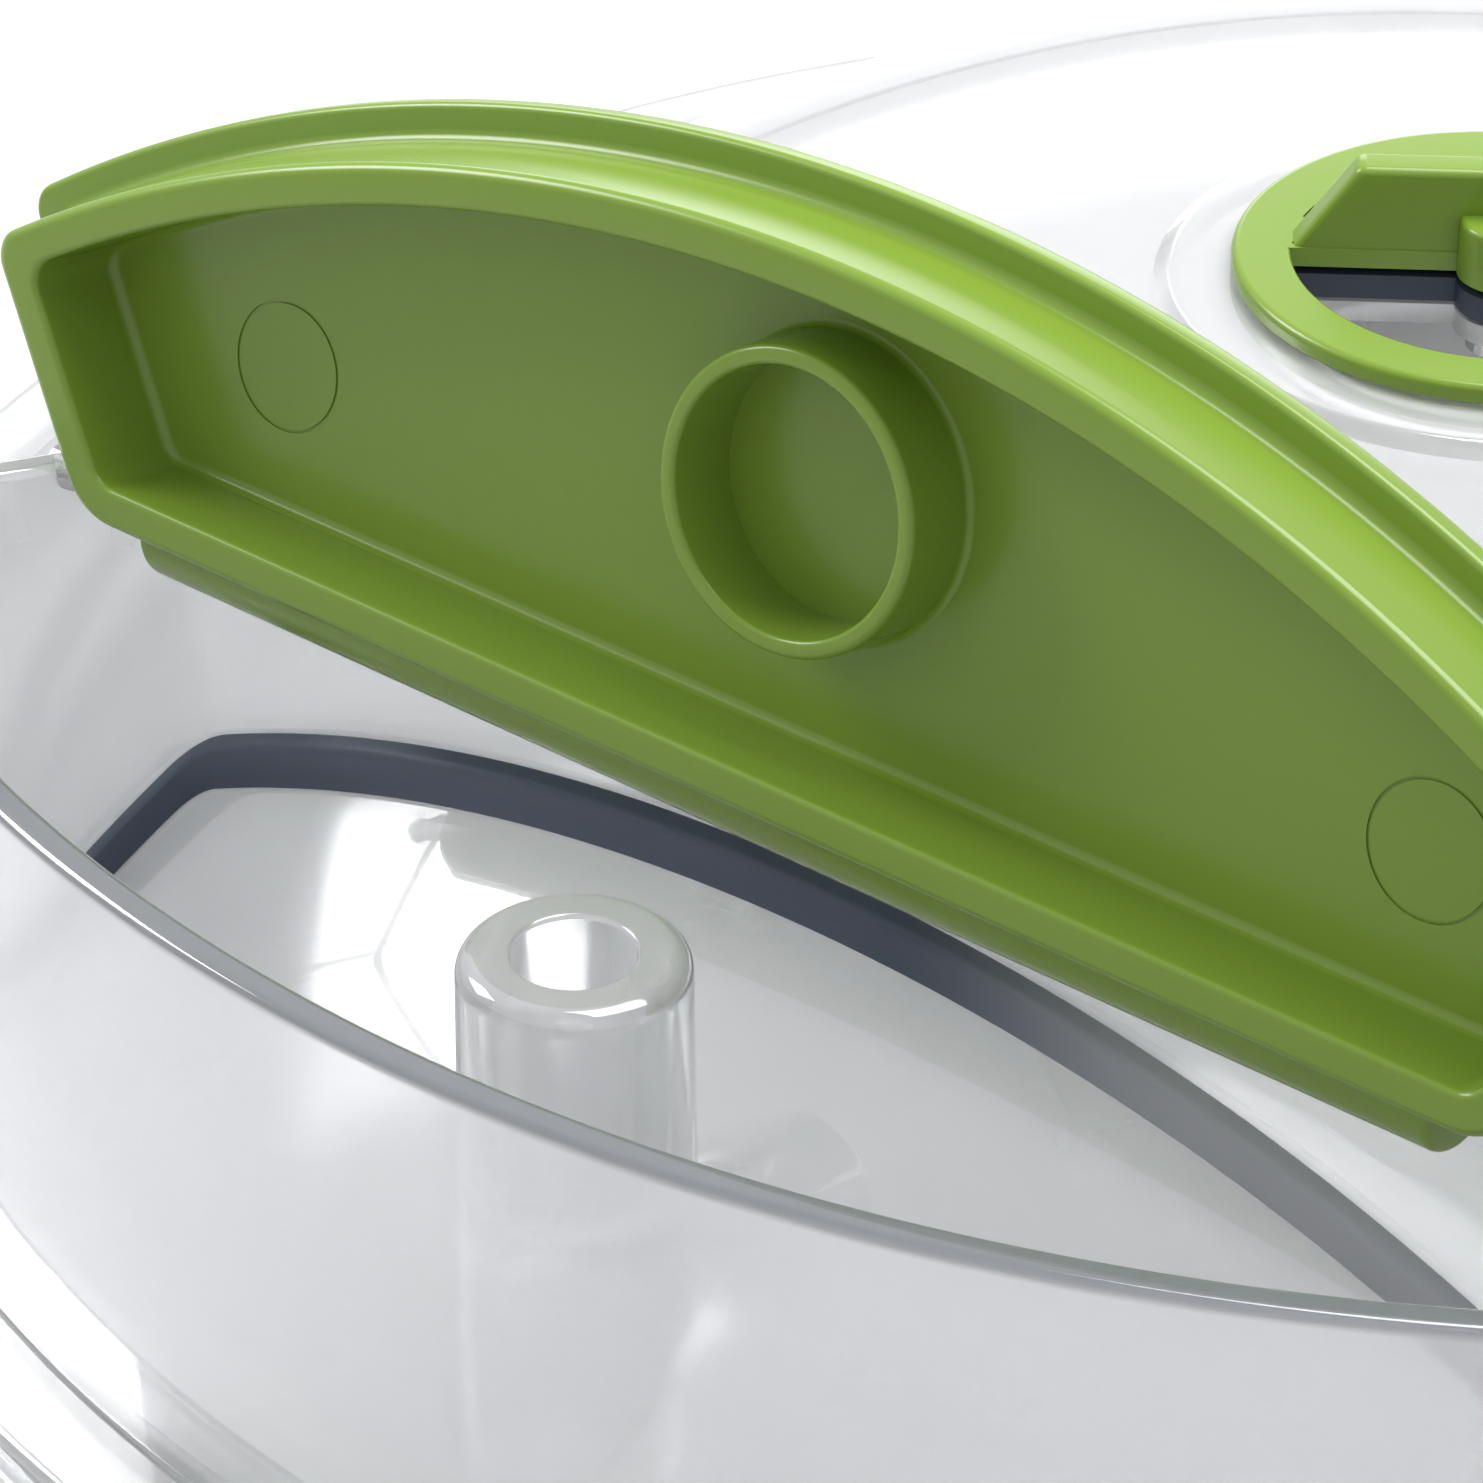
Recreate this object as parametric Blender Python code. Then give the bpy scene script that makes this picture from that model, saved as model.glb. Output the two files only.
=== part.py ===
"""Salad spinner: clear bowl and domed lid, slotted basket, crank drive, vent dial and hinged hatch.

Metres, +Z up, origin at the centre of the bowl's base. The hatch opens on the -Y side of the lid.
"""
import math

import bmesh
import bpy
from mathutils import Matrix, Vector

for item in list(bpy.data.objects):
    bpy.data.objects.remove(item, do_unlink=True)

MM = 0.001

# Clearances
GAP = 0.3 * MM               # between pieces that touch
RUN_GAP = 0.15 * MM          # round a turning pin or shaft
SPIN_GAP = 1.0 * MM          # round the basket's drive

# Bowl and basket
BOWL_HEIGHT = 120 * MM
BOWL_TOP_R = 128.5 * MM
BOWL_BASE_R = 84 * MM
BOWL_WALL = 2.4 * MM
BOWL_HEEL = 14 * MM         # radius of the curve between base and side
BOWL_MOUTH = 12 * MM        # straight stretch under the rim
BOWL_LIP_R = 133.5 * MM
BOWL_LIP_T = 3.0 * MM
FOOT_HEIGHT = 3.0 * MM
FOOT_WIDTH = 7 * MM
PIVOT_R = 3.0 * MM
PIVOT_HEIGHT = 14 * MM
PIVOT_SINK = 4.5 * MM
PIVOT_BOSS_R = 9 * MM
PIVOT_BOSS_H = 9 * MM
BASKET_CLEAR = 7.5 * MM      # between the bowl's and the basket's walls
BASKET_WALL = 1.8 * MM
BASKET_TOP_DROP = 18 * MM    # from the bowl's rim down to the basket's rim
SLOT_COLUMNS = 48
COVER_T = 1.8 * MM
COVER_COLUMNS = 40
COVER_SPOKES = 4
COVER_HUB_FLANGE = 9 * MM
COVER_RING = 14 * MM
BUSH_WALL = 2.2 * MM

# Lid, measured from its rim plane, which is the top of the collar round the hatch's well
RIM_R = 125 * MM
RIM_WALL = 2.5 * MM
SKIRT_HEIGHT = 43.3 * MM
FLANGE_R = 131.5 * MM
FLANGE_T = 2.2 * MM
SHELL_T = 2.2 * MM
CROWN_DROP = 0.5 * MM        # crown of the dome below the rim plane
CHORD_DROP = 15.3 * MM       # further fall of the dome at DROP_R
DROP_R = 80.8 * MM
FLOOR_RISE = 1.5 * MM         # the dome levels out this far above the flange
SPIGOT_DEPTH = 6 * MM        # lid's locating ring inside the bowl's mouth
SPIGOT_WALL = 2.2 * MM
SEAL_T = 0.9 * MM

# Hatch: the clear inside of its wall, looking down on it closed
HATCH_HALF = 56 * MM         # half length of the chord
HATCH_CHORD_Y = -86.4 * MM
HATCH_ARC_R = 118.2 * MM
HATCH_END_ANGLE = math.radians(31.4)
HATCH_WALL = 3.1 * MM
HATCH_OVERHANG = 2.6 * MM
HATCH_DEPTH = 7.15 * MM
HATCH_PLATE_T = 2.2 * MM
HATCH_CORNER_R = 2.0 * MM
HINGE_Y = -83.9 * MM
HINGE_DROP = 1.8 * MM        # hinge axis below the rim plane
HATCH_OPEN = math.radians(101.3)
HINGE_PIN_R = 1.3 * MM
HINGE_PIN_BITE = 4.0 * MM    # pin's length inside the hatch
HINGE_END_RELIEF = 3.0 * MM  # barrel's ends stop short of the chord's corners
HINGE_RELIEF_DEPTH = 3.2 * MM
HINGE_RELIEF_SINK = 0.6 * MM
HINGE_WALL_RELIEF = 1.9 * MM  # beside the barrel, where the wall closes the hollow's corner
HINGE_PLATE_RELIEF = 0.7 * MM # of the plate's thickness kept over that corner
TUBE_Y = -104.0 * MM
TUBE_R = 10.1 * MM
TUBE_WALL = 1.25 * MM
TUBE_DEPTH = 5.4 * MM

# Well under the hatch
WELL_CLEAR = 1.9 * MM        # between the ends of hatch and well
WELL_CHORD_Y = -78.8 * MM
WELL_WALL = 2.2 * MM
WELL_CORNER_R = 4.5 * MM
GASKET_H = 3.3 * MM
GASKET_T = 1.3 * MM
GASKET_END_R = 119.5 * MM
POST_Y = -104.0 * MM
POST_R = 7.5 * MM
POST_DRAFT = 0.4 * MM
POST_BORE_R = 4.0 * MM
POST_DROP = 4.4 * MM         # top of the post below the rim plane
POST_BORE_DEPTH = 17 * MM
POST_EDGE_R = 1.3 * MM

# Vent dial on the crown
DIAL_R = 20 * MM
DIAL_VENT_R = 15.7 * MM
DIAL_T = 1.5 * MM
DIAL_GRIP_T = 3.0 * MM
DIAL_GRIP_H = 6.5 * MM
DIAL_GRIP_TOP = 11 * MM      # half length of the grip's top
DIAL_HUB_R = 3.6 * MM
DIAL_ANGLE = math.radians(35.9)
STEP_R = 25.6 * MM
SEAL_PLATE_T = 1.9 * MM
SHELF_T = 1.6 * MM
DIAL_PIN_R = 1.5 * MM

# Crank drive
DRIVE_ANGLE = math.radians(39.5)
MODULE = 1.5 * MM
CRANK_TEETH = 50
IDLER_TEETH = 12
SLEEVE_TEETH = 20
GEAR_T = 5 * MM
GEAR_CLEAR = 0.9 * MM        # between the crank gear's teeth and the dome over them
SLEEVE_BORE_R = 9.5 * MM
SLEEVE_WALL = 2.2 * MM
FUNNEL_R = 17.5 * MM
FUNNEL_TOP_DROP = 6.5 * MM
FUNNEL_HEIGHT = 10 * MM
DOG_SIDES = 6
DOG_REACH = 9 * MM           # length of the sleeve's hexagon inside the basket cover
TRAY_R = 116 * MM
TRAY_T = 2.0 * MM
TRAY_CLEAR = 3.5 * MM        # between the gears and the tray
TRAY_RIM = 2.0 * MM
SHAFT_R = 4.0 * MM
CRANK_BUSH_WALL = 2.0 * MM
CRANK_TOWER_WALL = 2.5 * MM
ARM_LIFT = 3.5 * MM          # underside of the arm above the rim plane
ARM_T = 6 * MM
ARM_LENGTH = 38 * MM
ARM_END_R = 9 * MM
KNOB_R = 8.5 * MM
KNOB_H = 22 * MM
KNOB_PIN_R = 2.5 * MM
SCREW_R = 1.6 * MM
SCREW_HEAD_R = 3.2 * MM
SCREW_HEAD_T = 1.8 * MM
BOSS_R = 4.0 * MM
BOSS_RING_R = 84 * MM
BOSS_TURNS = (90, 150, 270)  # degrees round from the crank

# Brake
BRAKE_R = 95 * MM
BRAKE_TURN = math.radians(70)
BUTTON_R = 8 * MM
BUTTON_RISE = 9 * MM
BUTTON_T = 3 * MM
STEM_R = 4 * MM
BRAKE_TRAVEL = 3.5 * MM
PAD_R = 6.5 * MM
PAD_T = 3 * MM
SPRING_WIRE = 0.6 * MM
SPRING_R = 6.0 * MM
SPRING_TURNS = 3

ROUND = 48                   # sides of the large round pieces
SMALL = 24                   # sides of pins and bosses

RIM_Z = BOWL_HEIGHT + GAP + FLANGE_T + SKIRT_HEIGHT
HATCH_GAP_Z = RIM_Z + GAP
DRIVE_DIR = Vector((math.cos(DRIVE_ANGLE), math.sin(DRIVE_ANGLE), 0))
SLEEVE_PITCH_R = SLEEVE_TEETH * MODULE / 2
IDLER_PITCH_R = IDLER_TEETH * MODULE / 2
CRANK_PITCH_R = CRANK_TEETH * MODULE / 2
IDLER_DIST = SLEEVE_PITCH_R + IDLER_PITCH_R
CRANK_DIST = IDLER_DIST + IDLER_PITCH_R + CRANK_PITCH_R
LEVEL_R = DROP_R * ((SKIRT_HEIGHT - FLOOR_RISE - CROWN_DROP) / CHORD_DROP) ** (1 / 3)


def dome(r):
    """Height of the lid's outer surface at radius r."""
    return RIM_Z - CROWN_DROP - CHORD_DROP * (min(r, LEVEL_R) / DROP_R) ** 3


# ---------------------------------------------------------------- materials
def finish(name, colour, roughness, metallic=0.0, clear=0.0):
    made = bpy.data.materials.new(name)
    made.use_nodes = True
    shader = made.node_tree.nodes["Principled BSDF"]
    shader.inputs["Base Color"].default_value = (*colour, 1)
    shader.inputs["Roughness"].default_value = roughness
    shader.inputs["Metallic"].default_value = metallic
    shader.inputs["Transmission Weight"].default_value = clear
    made.diffuse_color = (*colour, 1)
    return made


CLEAR = finish("clear_plastic", (0.88, 0.89, 0.92), 0.05, clear=0.9)
GREEN = finish("green_plastic", (0.17, 0.28, 0.06), 0.32)
NAVY = finish("navy_seal", (0.07, 0.09, 0.15), 0.5)
WHITE = finish("white_plastic", (0.80, 0.80, 0.80), 0.4)
RUBBER = finish("grey_rubber", (0.45, 0.46, 0.48), 0.8)
STEEL = finish("steel", (0.6, 0.6, 0.6), 0.3, metallic=1.0)


# ---------------------------------------------------------------- shapes
def keep(mesh, name, material, origin=(0, 0, 0), rotation=(0, 0, 0)):
    """Turn a bmesh given in world axes about its origin into a named object."""
    bmesh.ops.recalc_face_normals(mesh, faces=mesh.faces)
    data = bpy.data.meshes.new(name)
    mesh.to_mesh(data)
    mesh.free()
    data.materials.append(material)
    made = bpy.data.objects.new(name, data)
    made.location = origin
    made.rotation_euler = rotation
    bpy.context.scene.collection.objects.link(made)
    return made


def turned(profile, sides=ROUND, centre=(0, 0, 0), angle=0.0):
    """Closed solid turned from a closed (radius, height) outline."""
    mesh = bmesh.new()
    rings = []
    for radius, height in profile:
        if radius < 1e-7:
            rings.append([mesh.verts.new((centre[0], centre[1], centre[2] + height))])
            continue
        ring = []
        for i in range(sides):
            a = angle + 2 * math.pi * i / sides
            ring.append(mesh.verts.new((centre[0] + radius * math.cos(a),
                                        centre[1] + radius * math.sin(a), centre[2] + height)))
        rings.append(ring)
    for low, high in zip(rings, rings[1:] + rings[:1]):
        for i in range(sides):
            j = (i + 1) % sides
            loop = [low[i % len(low)], low[j % len(low)], high[j % len(high)], high[i % len(high)]]
            unique = [v for k, v in enumerate(loop) if v not in loop[:k]]
            if len(unique) > 2:
                mesh.faces.new(unique)
    return mesh


def prism(outline, low, high, hole=None):
    """Straight solid on an (x, y) outline, with an optional hole outline of as many points."""
    mesh = bmesh.new()
    bottom = [mesh.verts.new((x, y, low)) for x, y in outline]
    top = [mesh.verts.new((x, y, high)) for x, y in outline]
    count = len(outline)
    for i in range(count):
        j = (i + 1) % count
        mesh.faces.new((bottom[i], bottom[j], top[j], top[i]))
    if hole is None:
        mesh.faces.new(bottom)
        mesh.faces.new(top)
        return mesh
    inner_low = [mesh.verts.new((x, y, low)) for x, y in hole]
    inner_top = [mesh.verts.new((x, y, high)) for x, y in hole]
    for i in range(count):
        j = (i + 1) % count
        mesh.faces.new((inner_low[i], inner_low[j], inner_top[j], inner_top[i]))
        mesh.faces.new((bottom[i], bottom[j], inner_low[j], inner_low[i]))
        mesh.faces.new((top[i], top[j], inner_top[j], inner_top[i]))
    return mesh


def rod(radius, low, high, centre, sides=SMALL):
    """Upright round rod."""
    return turned([(0, low), (radius, low), (radius, high), (0, high)], sides, centre)


def along_x(mesh, x, y, z):
    """Lay an upright shape along +X and move it to (x, y, z)."""
    mesh.transform(Matrix.Translation((x, y, z)) @ Matrix.Rotation(math.pi / 2, 4, "Y"))
    return mesh


def combine(target, mesh, operation, solver="EXACT"):
    """Boolean a scratch shape into an object and apply it."""
    cutter = keep(mesh, "cutter", target.data.materials[0])
    modifier = target.modifiers.new("combine", "BOOLEAN")
    modifier.operation = operation
    modifier.solver = solver
    modifier.object = cutter
    bpy.context.view_layer.update()
    graph = bpy.context.evaluated_depsgraph_get()
    result = bpy.data.meshes.new_from_object(target.evaluated_get(graph))
    target.modifiers.clear()
    target.data = result
    bpy.data.objects.remove(cutter, do_unlink=True)


def smooth(made):
    made.data.shade_smooth()
    made.data.set_sharp_from_angle(angle=math.radians(35))


def round_corner(before, corner, after, radius, steps=4):
    """Points of an arc that rounds one corner of an outline."""
    a = (Vector(before) - Vector(corner)).normalized()
    b = (Vector(after) - Vector(corner)).normalized()
    half = a.angle(b) / 2
    reach = radius / math.tan(half)
    middle = Vector(corner) + (a + b).normalized() * radius / math.sin(half)
    start = Vector(corner) + a * reach - middle
    end = Vector(corner) + b * reach - middle
    turn = start.angle_signed(end)
    points = []
    for i in range(steps + 1):
        share = turn * i / steps
        spun = Matrix.Rotation(-share, 2) @ start
        points.append(tuple(middle + spun))
    return points


def d_outline(chord_y, arc_r, offset, corner_r, arc_steps=24):
    """D outline whose ends lie offset outside the hatch's clear inside."""
    direction = Vector((math.sin(HATCH_END_ANGLE), -math.cos(HATCH_END_ANGLE)))
    normal = Vector((math.cos(HATCH_END_ANGLE), math.sin(HATCH_END_ANGLE)))
    on_end = Vector((HATCH_HALF, HATCH_CHORD_Y)) + normal * offset
    chord = on_end + direction * ((chord_y - on_end.y) / direction.y)
    b = on_end.dot(direction)
    c = on_end.length_squared - arc_r ** 2
    rim = on_end + direction * (-b + math.sqrt(b * b - c))
    spread = math.atan2(rim.x, -rim.y)
    arc = []
    for i in range(1, arc_steps):
        a = spread - 2 * spread * i / arc_steps
        arc.append((arc_r * math.sin(a), -arc_r * math.cos(a)))
    left_chord = (-chord.x, chord.y)
    left_rim = (-rim.x, rim.y)
    points = round_corner(left_chord, tuple(chord), tuple(rim), corner_r)
    points += round_corner(tuple(chord), tuple(rim), arc[0], min(corner_r, HATCH_CORNER_R), 3)
    points += arc[1:-1]
    points += round_corner(arc[-1], left_rim, left_chord, min(corner_r, HATCH_CORNER_R), 3)
    points += round_corner(left_rim, left_chord, tuple(chord), corner_r)
    return points


def gear_outline(teeth, centre, phase, module=MODULE):
    """Outline of a spur gear with a tooth centred on the angle phase."""
    pitch = 2 * math.pi / teeth
    pitch_r = teeth * module / 2
    shape = ((-0.31, pitch_r - 1.15 * module), (-0.13, pitch_r + 0.85 * module),
             (0.13, pitch_r + 0.85 * module), (0.31, pitch_r - 1.15 * module))
    points = []
    for tooth in range(teeth):
        for share, radius in shape:
            a = phase + (tooth + share) * pitch
            points.append((centre[0] + radius * math.cos(a), centre[1] + radius * math.sin(a)))
    return points


def half_disc(radius, hub_r, angle, steps=20):
    """Half-disc on the far side of a line through the centre, with a round hub bulging over it."""
    points = []
    for i in range(steps + 1):
        a = math.pi * i / steps
        points.append((radius * math.cos(a), radius * math.sin(a)))
    hub_steps = 8
    for i in range(hub_steps + 1):
        a = math.pi + math.pi * i / hub_steps
        points.append((hub_r * math.cos(a), hub_r * math.sin(a)))
    turn = Matrix.Rotation(angle, 2)
    return [tuple(turn @ Vector(p)) for p in points]


# ---------------------------------------------------------------- bowl, foot and pivot
def bowl_radius(height):
    """Outer radius of the bowl's side at a height above its heel."""
    low = FOOT_HEIGHT + BOWL_HEEL
    share = (height - low) / (BOWL_HEIGHT - BOWL_MOUTH - low)
    base = BOWL_BASE_R + BOWL_HEEL
    return base + (BOWL_TOP_R - base) * min(max(share, 0), 1) ** 0.6


def make_bowl():
    floor_z = FOOT_HEIGHT + BOWL_WALL
    heel = BOWL_HEEL
    heel_steps = 3
    outside = [(0, FOOT_HEIGHT), (BOWL_BASE_R - FOOT_WIDTH, FOOT_HEIGHT), (BOWL_BASE_R, FOOT_HEIGHT)]
    inside = []
    for i in range(1, heel_steps + 1):
        a = math.pi / 2 * i / heel_steps
        outside.append((BOWL_BASE_R + heel * math.sin(a), FOOT_HEIGHT + heel * (1 - math.cos(a))))
        reach = heel - BOWL_WALL
        inside.append((BOWL_BASE_R + reach * math.sin(a), floor_z + reach * (1 - math.cos(a))))
    lip_z = BOWL_HEIGHT - BOWL_LIP_T
    for share in (0.08, 0.25, 0.55, 1.0):
        height = FOOT_HEIGHT + heel + (BOWL_HEIGHT - BOWL_MOUTH - FOOT_HEIGHT - heel) * share
        outside.append((bowl_radius(height), height))
        inside.append((bowl_radius(height) - BOWL_WALL, height))
    outside += [(BOWL_TOP_R, lip_z), (BOWL_LIP_R, lip_z), (BOWL_LIP_R, BOWL_HEIGHT)]
    inside.append((BOWL_TOP_R - BOWL_WALL, BOWL_HEIGHT))
    boss = [(BOWL_BASE_R * 0.6, floor_z), (PIVOT_BOSS_R, floor_z),
            (PIVOT_BOSS_R - BOWL_WALL / 2, floor_z + PIVOT_BOSS_H),
            (PIVOT_R + GAP, floor_z + PIVOT_BOSS_H),
            (PIVOT_R + GAP, floor_z + PIVOT_BOSS_H - PIVOT_SINK - GAP),
            (0, floor_z + PIVOT_BOSS_H - PIVOT_SINK - GAP)]
    smooth(keep(turned(outside + inside[::-1] + [(BOWL_BASE_R, floor_z)] + boss), "bowl", CLEAR))
    foot = [(BOWL_BASE_R - FOOT_WIDTH, 0), (BOWL_BASE_R, 0),
            (BOWL_BASE_R, FOOT_HEIGHT - GAP), (BOWL_BASE_R - FOOT_WIDTH, FOOT_HEIGHT - GAP)]
    smooth(keep(turned(foot), "foot_ring", RUBBER))
    base = floor_z + PIVOT_BOSS_H - PIVOT_SINK
    tip = 1 * MM
    pin = [(0, base), (PIVOT_R, base), (PIVOT_R, base + PIVOT_HEIGHT - tip),
           (PIVOT_R - tip, base + PIVOT_HEIGHT), (0, base + PIVOT_HEIGHT)]
    smooth(keep(turned(pin, SMALL), "pivot_pin", STEEL))
    return base + PIVOT_HEIGHT


PIVOT_TOP = make_bowl()
BASKET_FLOOR_Z = PIVOT_TOP - PIVOT_HEIGHT + PIVOT_SINK + SPIN_GAP
BASKET_TOP_Z = BOWL_HEIGHT - BASKET_TOP_DROP
BASKET_TOP_R = bowl_radius(BASKET_TOP_Z) - BOWL_WALL - BASKET_CLEAR
BASKET_BASE_R = BOWL_BASE_R
BUSH_R = PIVOT_R + RUN_GAP + BUSH_WALL


# ---------------------------------------------------------------- basket, bush and basket cover
def slotted(rows, open_rows, step, name, thickness, material, columns=SLOT_COLUMNS):
    """Sheet turned from (radius, height) rows. An open row keeps only one column in each step."""
    mesh = bmesh.new()
    grid = []
    for radius, height in rows:
        ring = []
        for i in range(columns):
            a = 2 * math.pi * i / columns
            ring.append(mesh.verts.new((radius * math.cos(a), radius * math.sin(a), height)))
        grid.append(ring)
    for row in range(len(rows) - 1):
        for i in range(columns):
            if row in open_rows and i % step != 0:
                continue
            j = (i + 1) % columns
            mesh.faces.new((grid[row][i], grid[row][j], grid[row + 1][j], grid[row + 1][i]))
    made = keep(mesh, name, material)
    thick = made.modifiers.new("wall", "SOLIDIFY")
    thick.thickness = thickness
    thick.offset = 0
    return made


def make_basket():
    z = BASKET_FLOOR_Z
    height = BASKET_TOP_Z - z
    base = BASKET_BASE_R
    rows = [(BUSH_R + GAP + BASKET_WALL, z), (22 * MM, z), (50 * MM, z), (54 * MM, z),
            (base - 6 * MM, z), (base + 3 * MM, z + 4 * MM)]
    for share in (0.12, 0.48, 0.53, 0.90, 0.955):
        level = z + height * share
        rows.append((bowl_radius(level) - BOWL_WALL - BASKET_CLEAR, level))
    rows.append((BASKET_TOP_R, BASKET_TOP_Z - BASKET_WALL / 2))
    rows.append((BASKET_TOP_R + 3 * MM, BASKET_TOP_Z - BASKET_WALL / 2))
    wall_rows = (6, 8)
    floor_rows = (1, 3)
    open_rows = set(wall_rows + floor_rows)
    slotted(rows, open_rows, 2, "basket", BASKET_WALL, WHITE)
    low = z - BASKET_WALL / 2
    top = PIVOT_TOP + BUSH_WALL
    bore = PIVOT_R + RUN_GAP
    flange = BUSH_R + BASKET_WALL * 2
    bush = [(0, top), (BUSH_R, top), (BUSH_R, low + BASKET_WALL + 2 * GAP + BUSH_WALL),
            (flange, low + BASKET_WALL + GAP + BUSH_WALL), (flange, low + BASKET_WALL + GAP),
            (BUSH_R, low + BASKET_WALL + GAP), (BUSH_R, low), (bore, low),
            (bore, PIVOT_TOP + GAP), (0, PIVOT_TOP + GAP)]
    smooth(keep(turned(bush[::-1], SMALL), "basket_bush", WHITE))


HEX_R = 11.5 * MM            # across the corners of the sleeve's drive hexagon
COVER_Z = BASKET_TOP_Z + GAP
DOG_LOW = COVER_Z + COVER_T - DOG_REACH


def make_cover():
    hub = HEX_R + SPIN_GAP + BASKET_WALL
    level = COVER_Z + COVER_T / 2
    radii = (hub + BASKET_WALL, hub + COVER_HUB_FLANGE, BASKET_TOP_R - COVER_RING, BASKET_TOP_R + 2 * MM)
    rows = [(radius, level) for radius in radii]
    made = slotted(rows, {1}, COVER_COLUMNS // COVER_SPOKES, "basket_cover", COVER_T, WHITE,
                   COVER_COLUMNS)
    graph = bpy.context.evaluated_depsgraph_get()
    made.data = bpy.data.meshes.new_from_object(made.evaluated_get(graph))
    made.modifiers.clear()
    socket = [(HEX_R + SPIN_GAP, DOG_LOW - SPIN_GAP), (hub, DOG_LOW - SPIN_GAP),
              (hub, COVER_Z), (hub + 5 * MM, COVER_Z), (hub + 5 * MM, COVER_Z + COVER_T / 2),
              (hub, COVER_Z + COVER_T), (HEX_R + SPIN_GAP, COVER_Z + COVER_T)]
    combine(made, turned(socket, 36), "UNION", "MANIFOLD")


make_basket()
make_cover()


# ---------------------------------------------------------------- lid shell
def dome_profile(offset, inner, outer, steps):
    """Points of the dome's surface moved down by offset, from the inner to the outer radius."""
    points = []
    curved = min(outer, LEVEL_R)
    for i in range(steps + 1):
        r = inner + (curved - inner) * (i / steps) ** 0.75
        points.append((r, dome(r) - offset))
    if outer > curved:
        points.append((outer, dome(outer) - offset))
    return points


FLANGE_TOP = RIM_Z - SKIRT_HEIGHT
FLANGE_LOW = FLANGE_TOP - FLANGE_T
SPIGOT_R = BOWL_TOP_R - BOWL_WALL - SEAL_T - 2 * GAP
SEAT_TOP = RIM_Z                       # raised step that carries the dial
SEAT_R = DIAL_VENT_R + 0.6 * MM        # hole through the crown
SHELF_TOP = SEAT_TOP - SEAL_PLATE_T - 2 * GAP
CRANK_AT = DRIVE_DIR * CRANK_DIST
IDLER_AT = DRIVE_DIR * IDLER_DIST
BRAKE_DIR = Matrix.Rotation(BRAKE_TURN, 3, "Z") @ DRIVE_DIR
BRAKE_AT = BRAKE_DIR * BRAKE_R
GEAR_TOP = dome(CRANK_DIST + CRANK_PITCH_R + MODULE) - SHELL_T - GEAR_CLEAR
TRAY_TOP = GEAR_TOP - GEAR_T - TRAY_CLEAR
ARM_LOW = RIM_Z + ARM_LIFT
TOWER_TOP = ARM_LOW - 1.5 * MM
TOWER_R = SHAFT_R + RUN_GAP + CRANK_BUSH_WALL + GAP + CRANK_TOWER_WALL
CRANK_HOLE_R = TOWER_R - CRANK_TOWER_WALL
BUTTON_HOLE_R = STEM_R + RUN_GAP * 2
GUIDE_R = BUTTON_R
BRAKE_SEAT = dome(BRAKE_R - GUIDE_R) + 0.5 * MM
HINGE_Z = RIM_Z - HINGE_DROP
HINGE_BARREL_R = HATCH_PLATE_T + GAP + HINGE_DROP
PIN_INNER = HATCH_HALF - HINGE_END_RELIEF - HINGE_PIN_BITE


def boss_places():
    made = []
    for turn in BOSS_TURNS:
        direction = Matrix.Rotation(math.radians(turn), 3, "Z") @ DRIVE_DIR
        made.append(direction * BOSS_RING_R)
    return made


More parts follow.
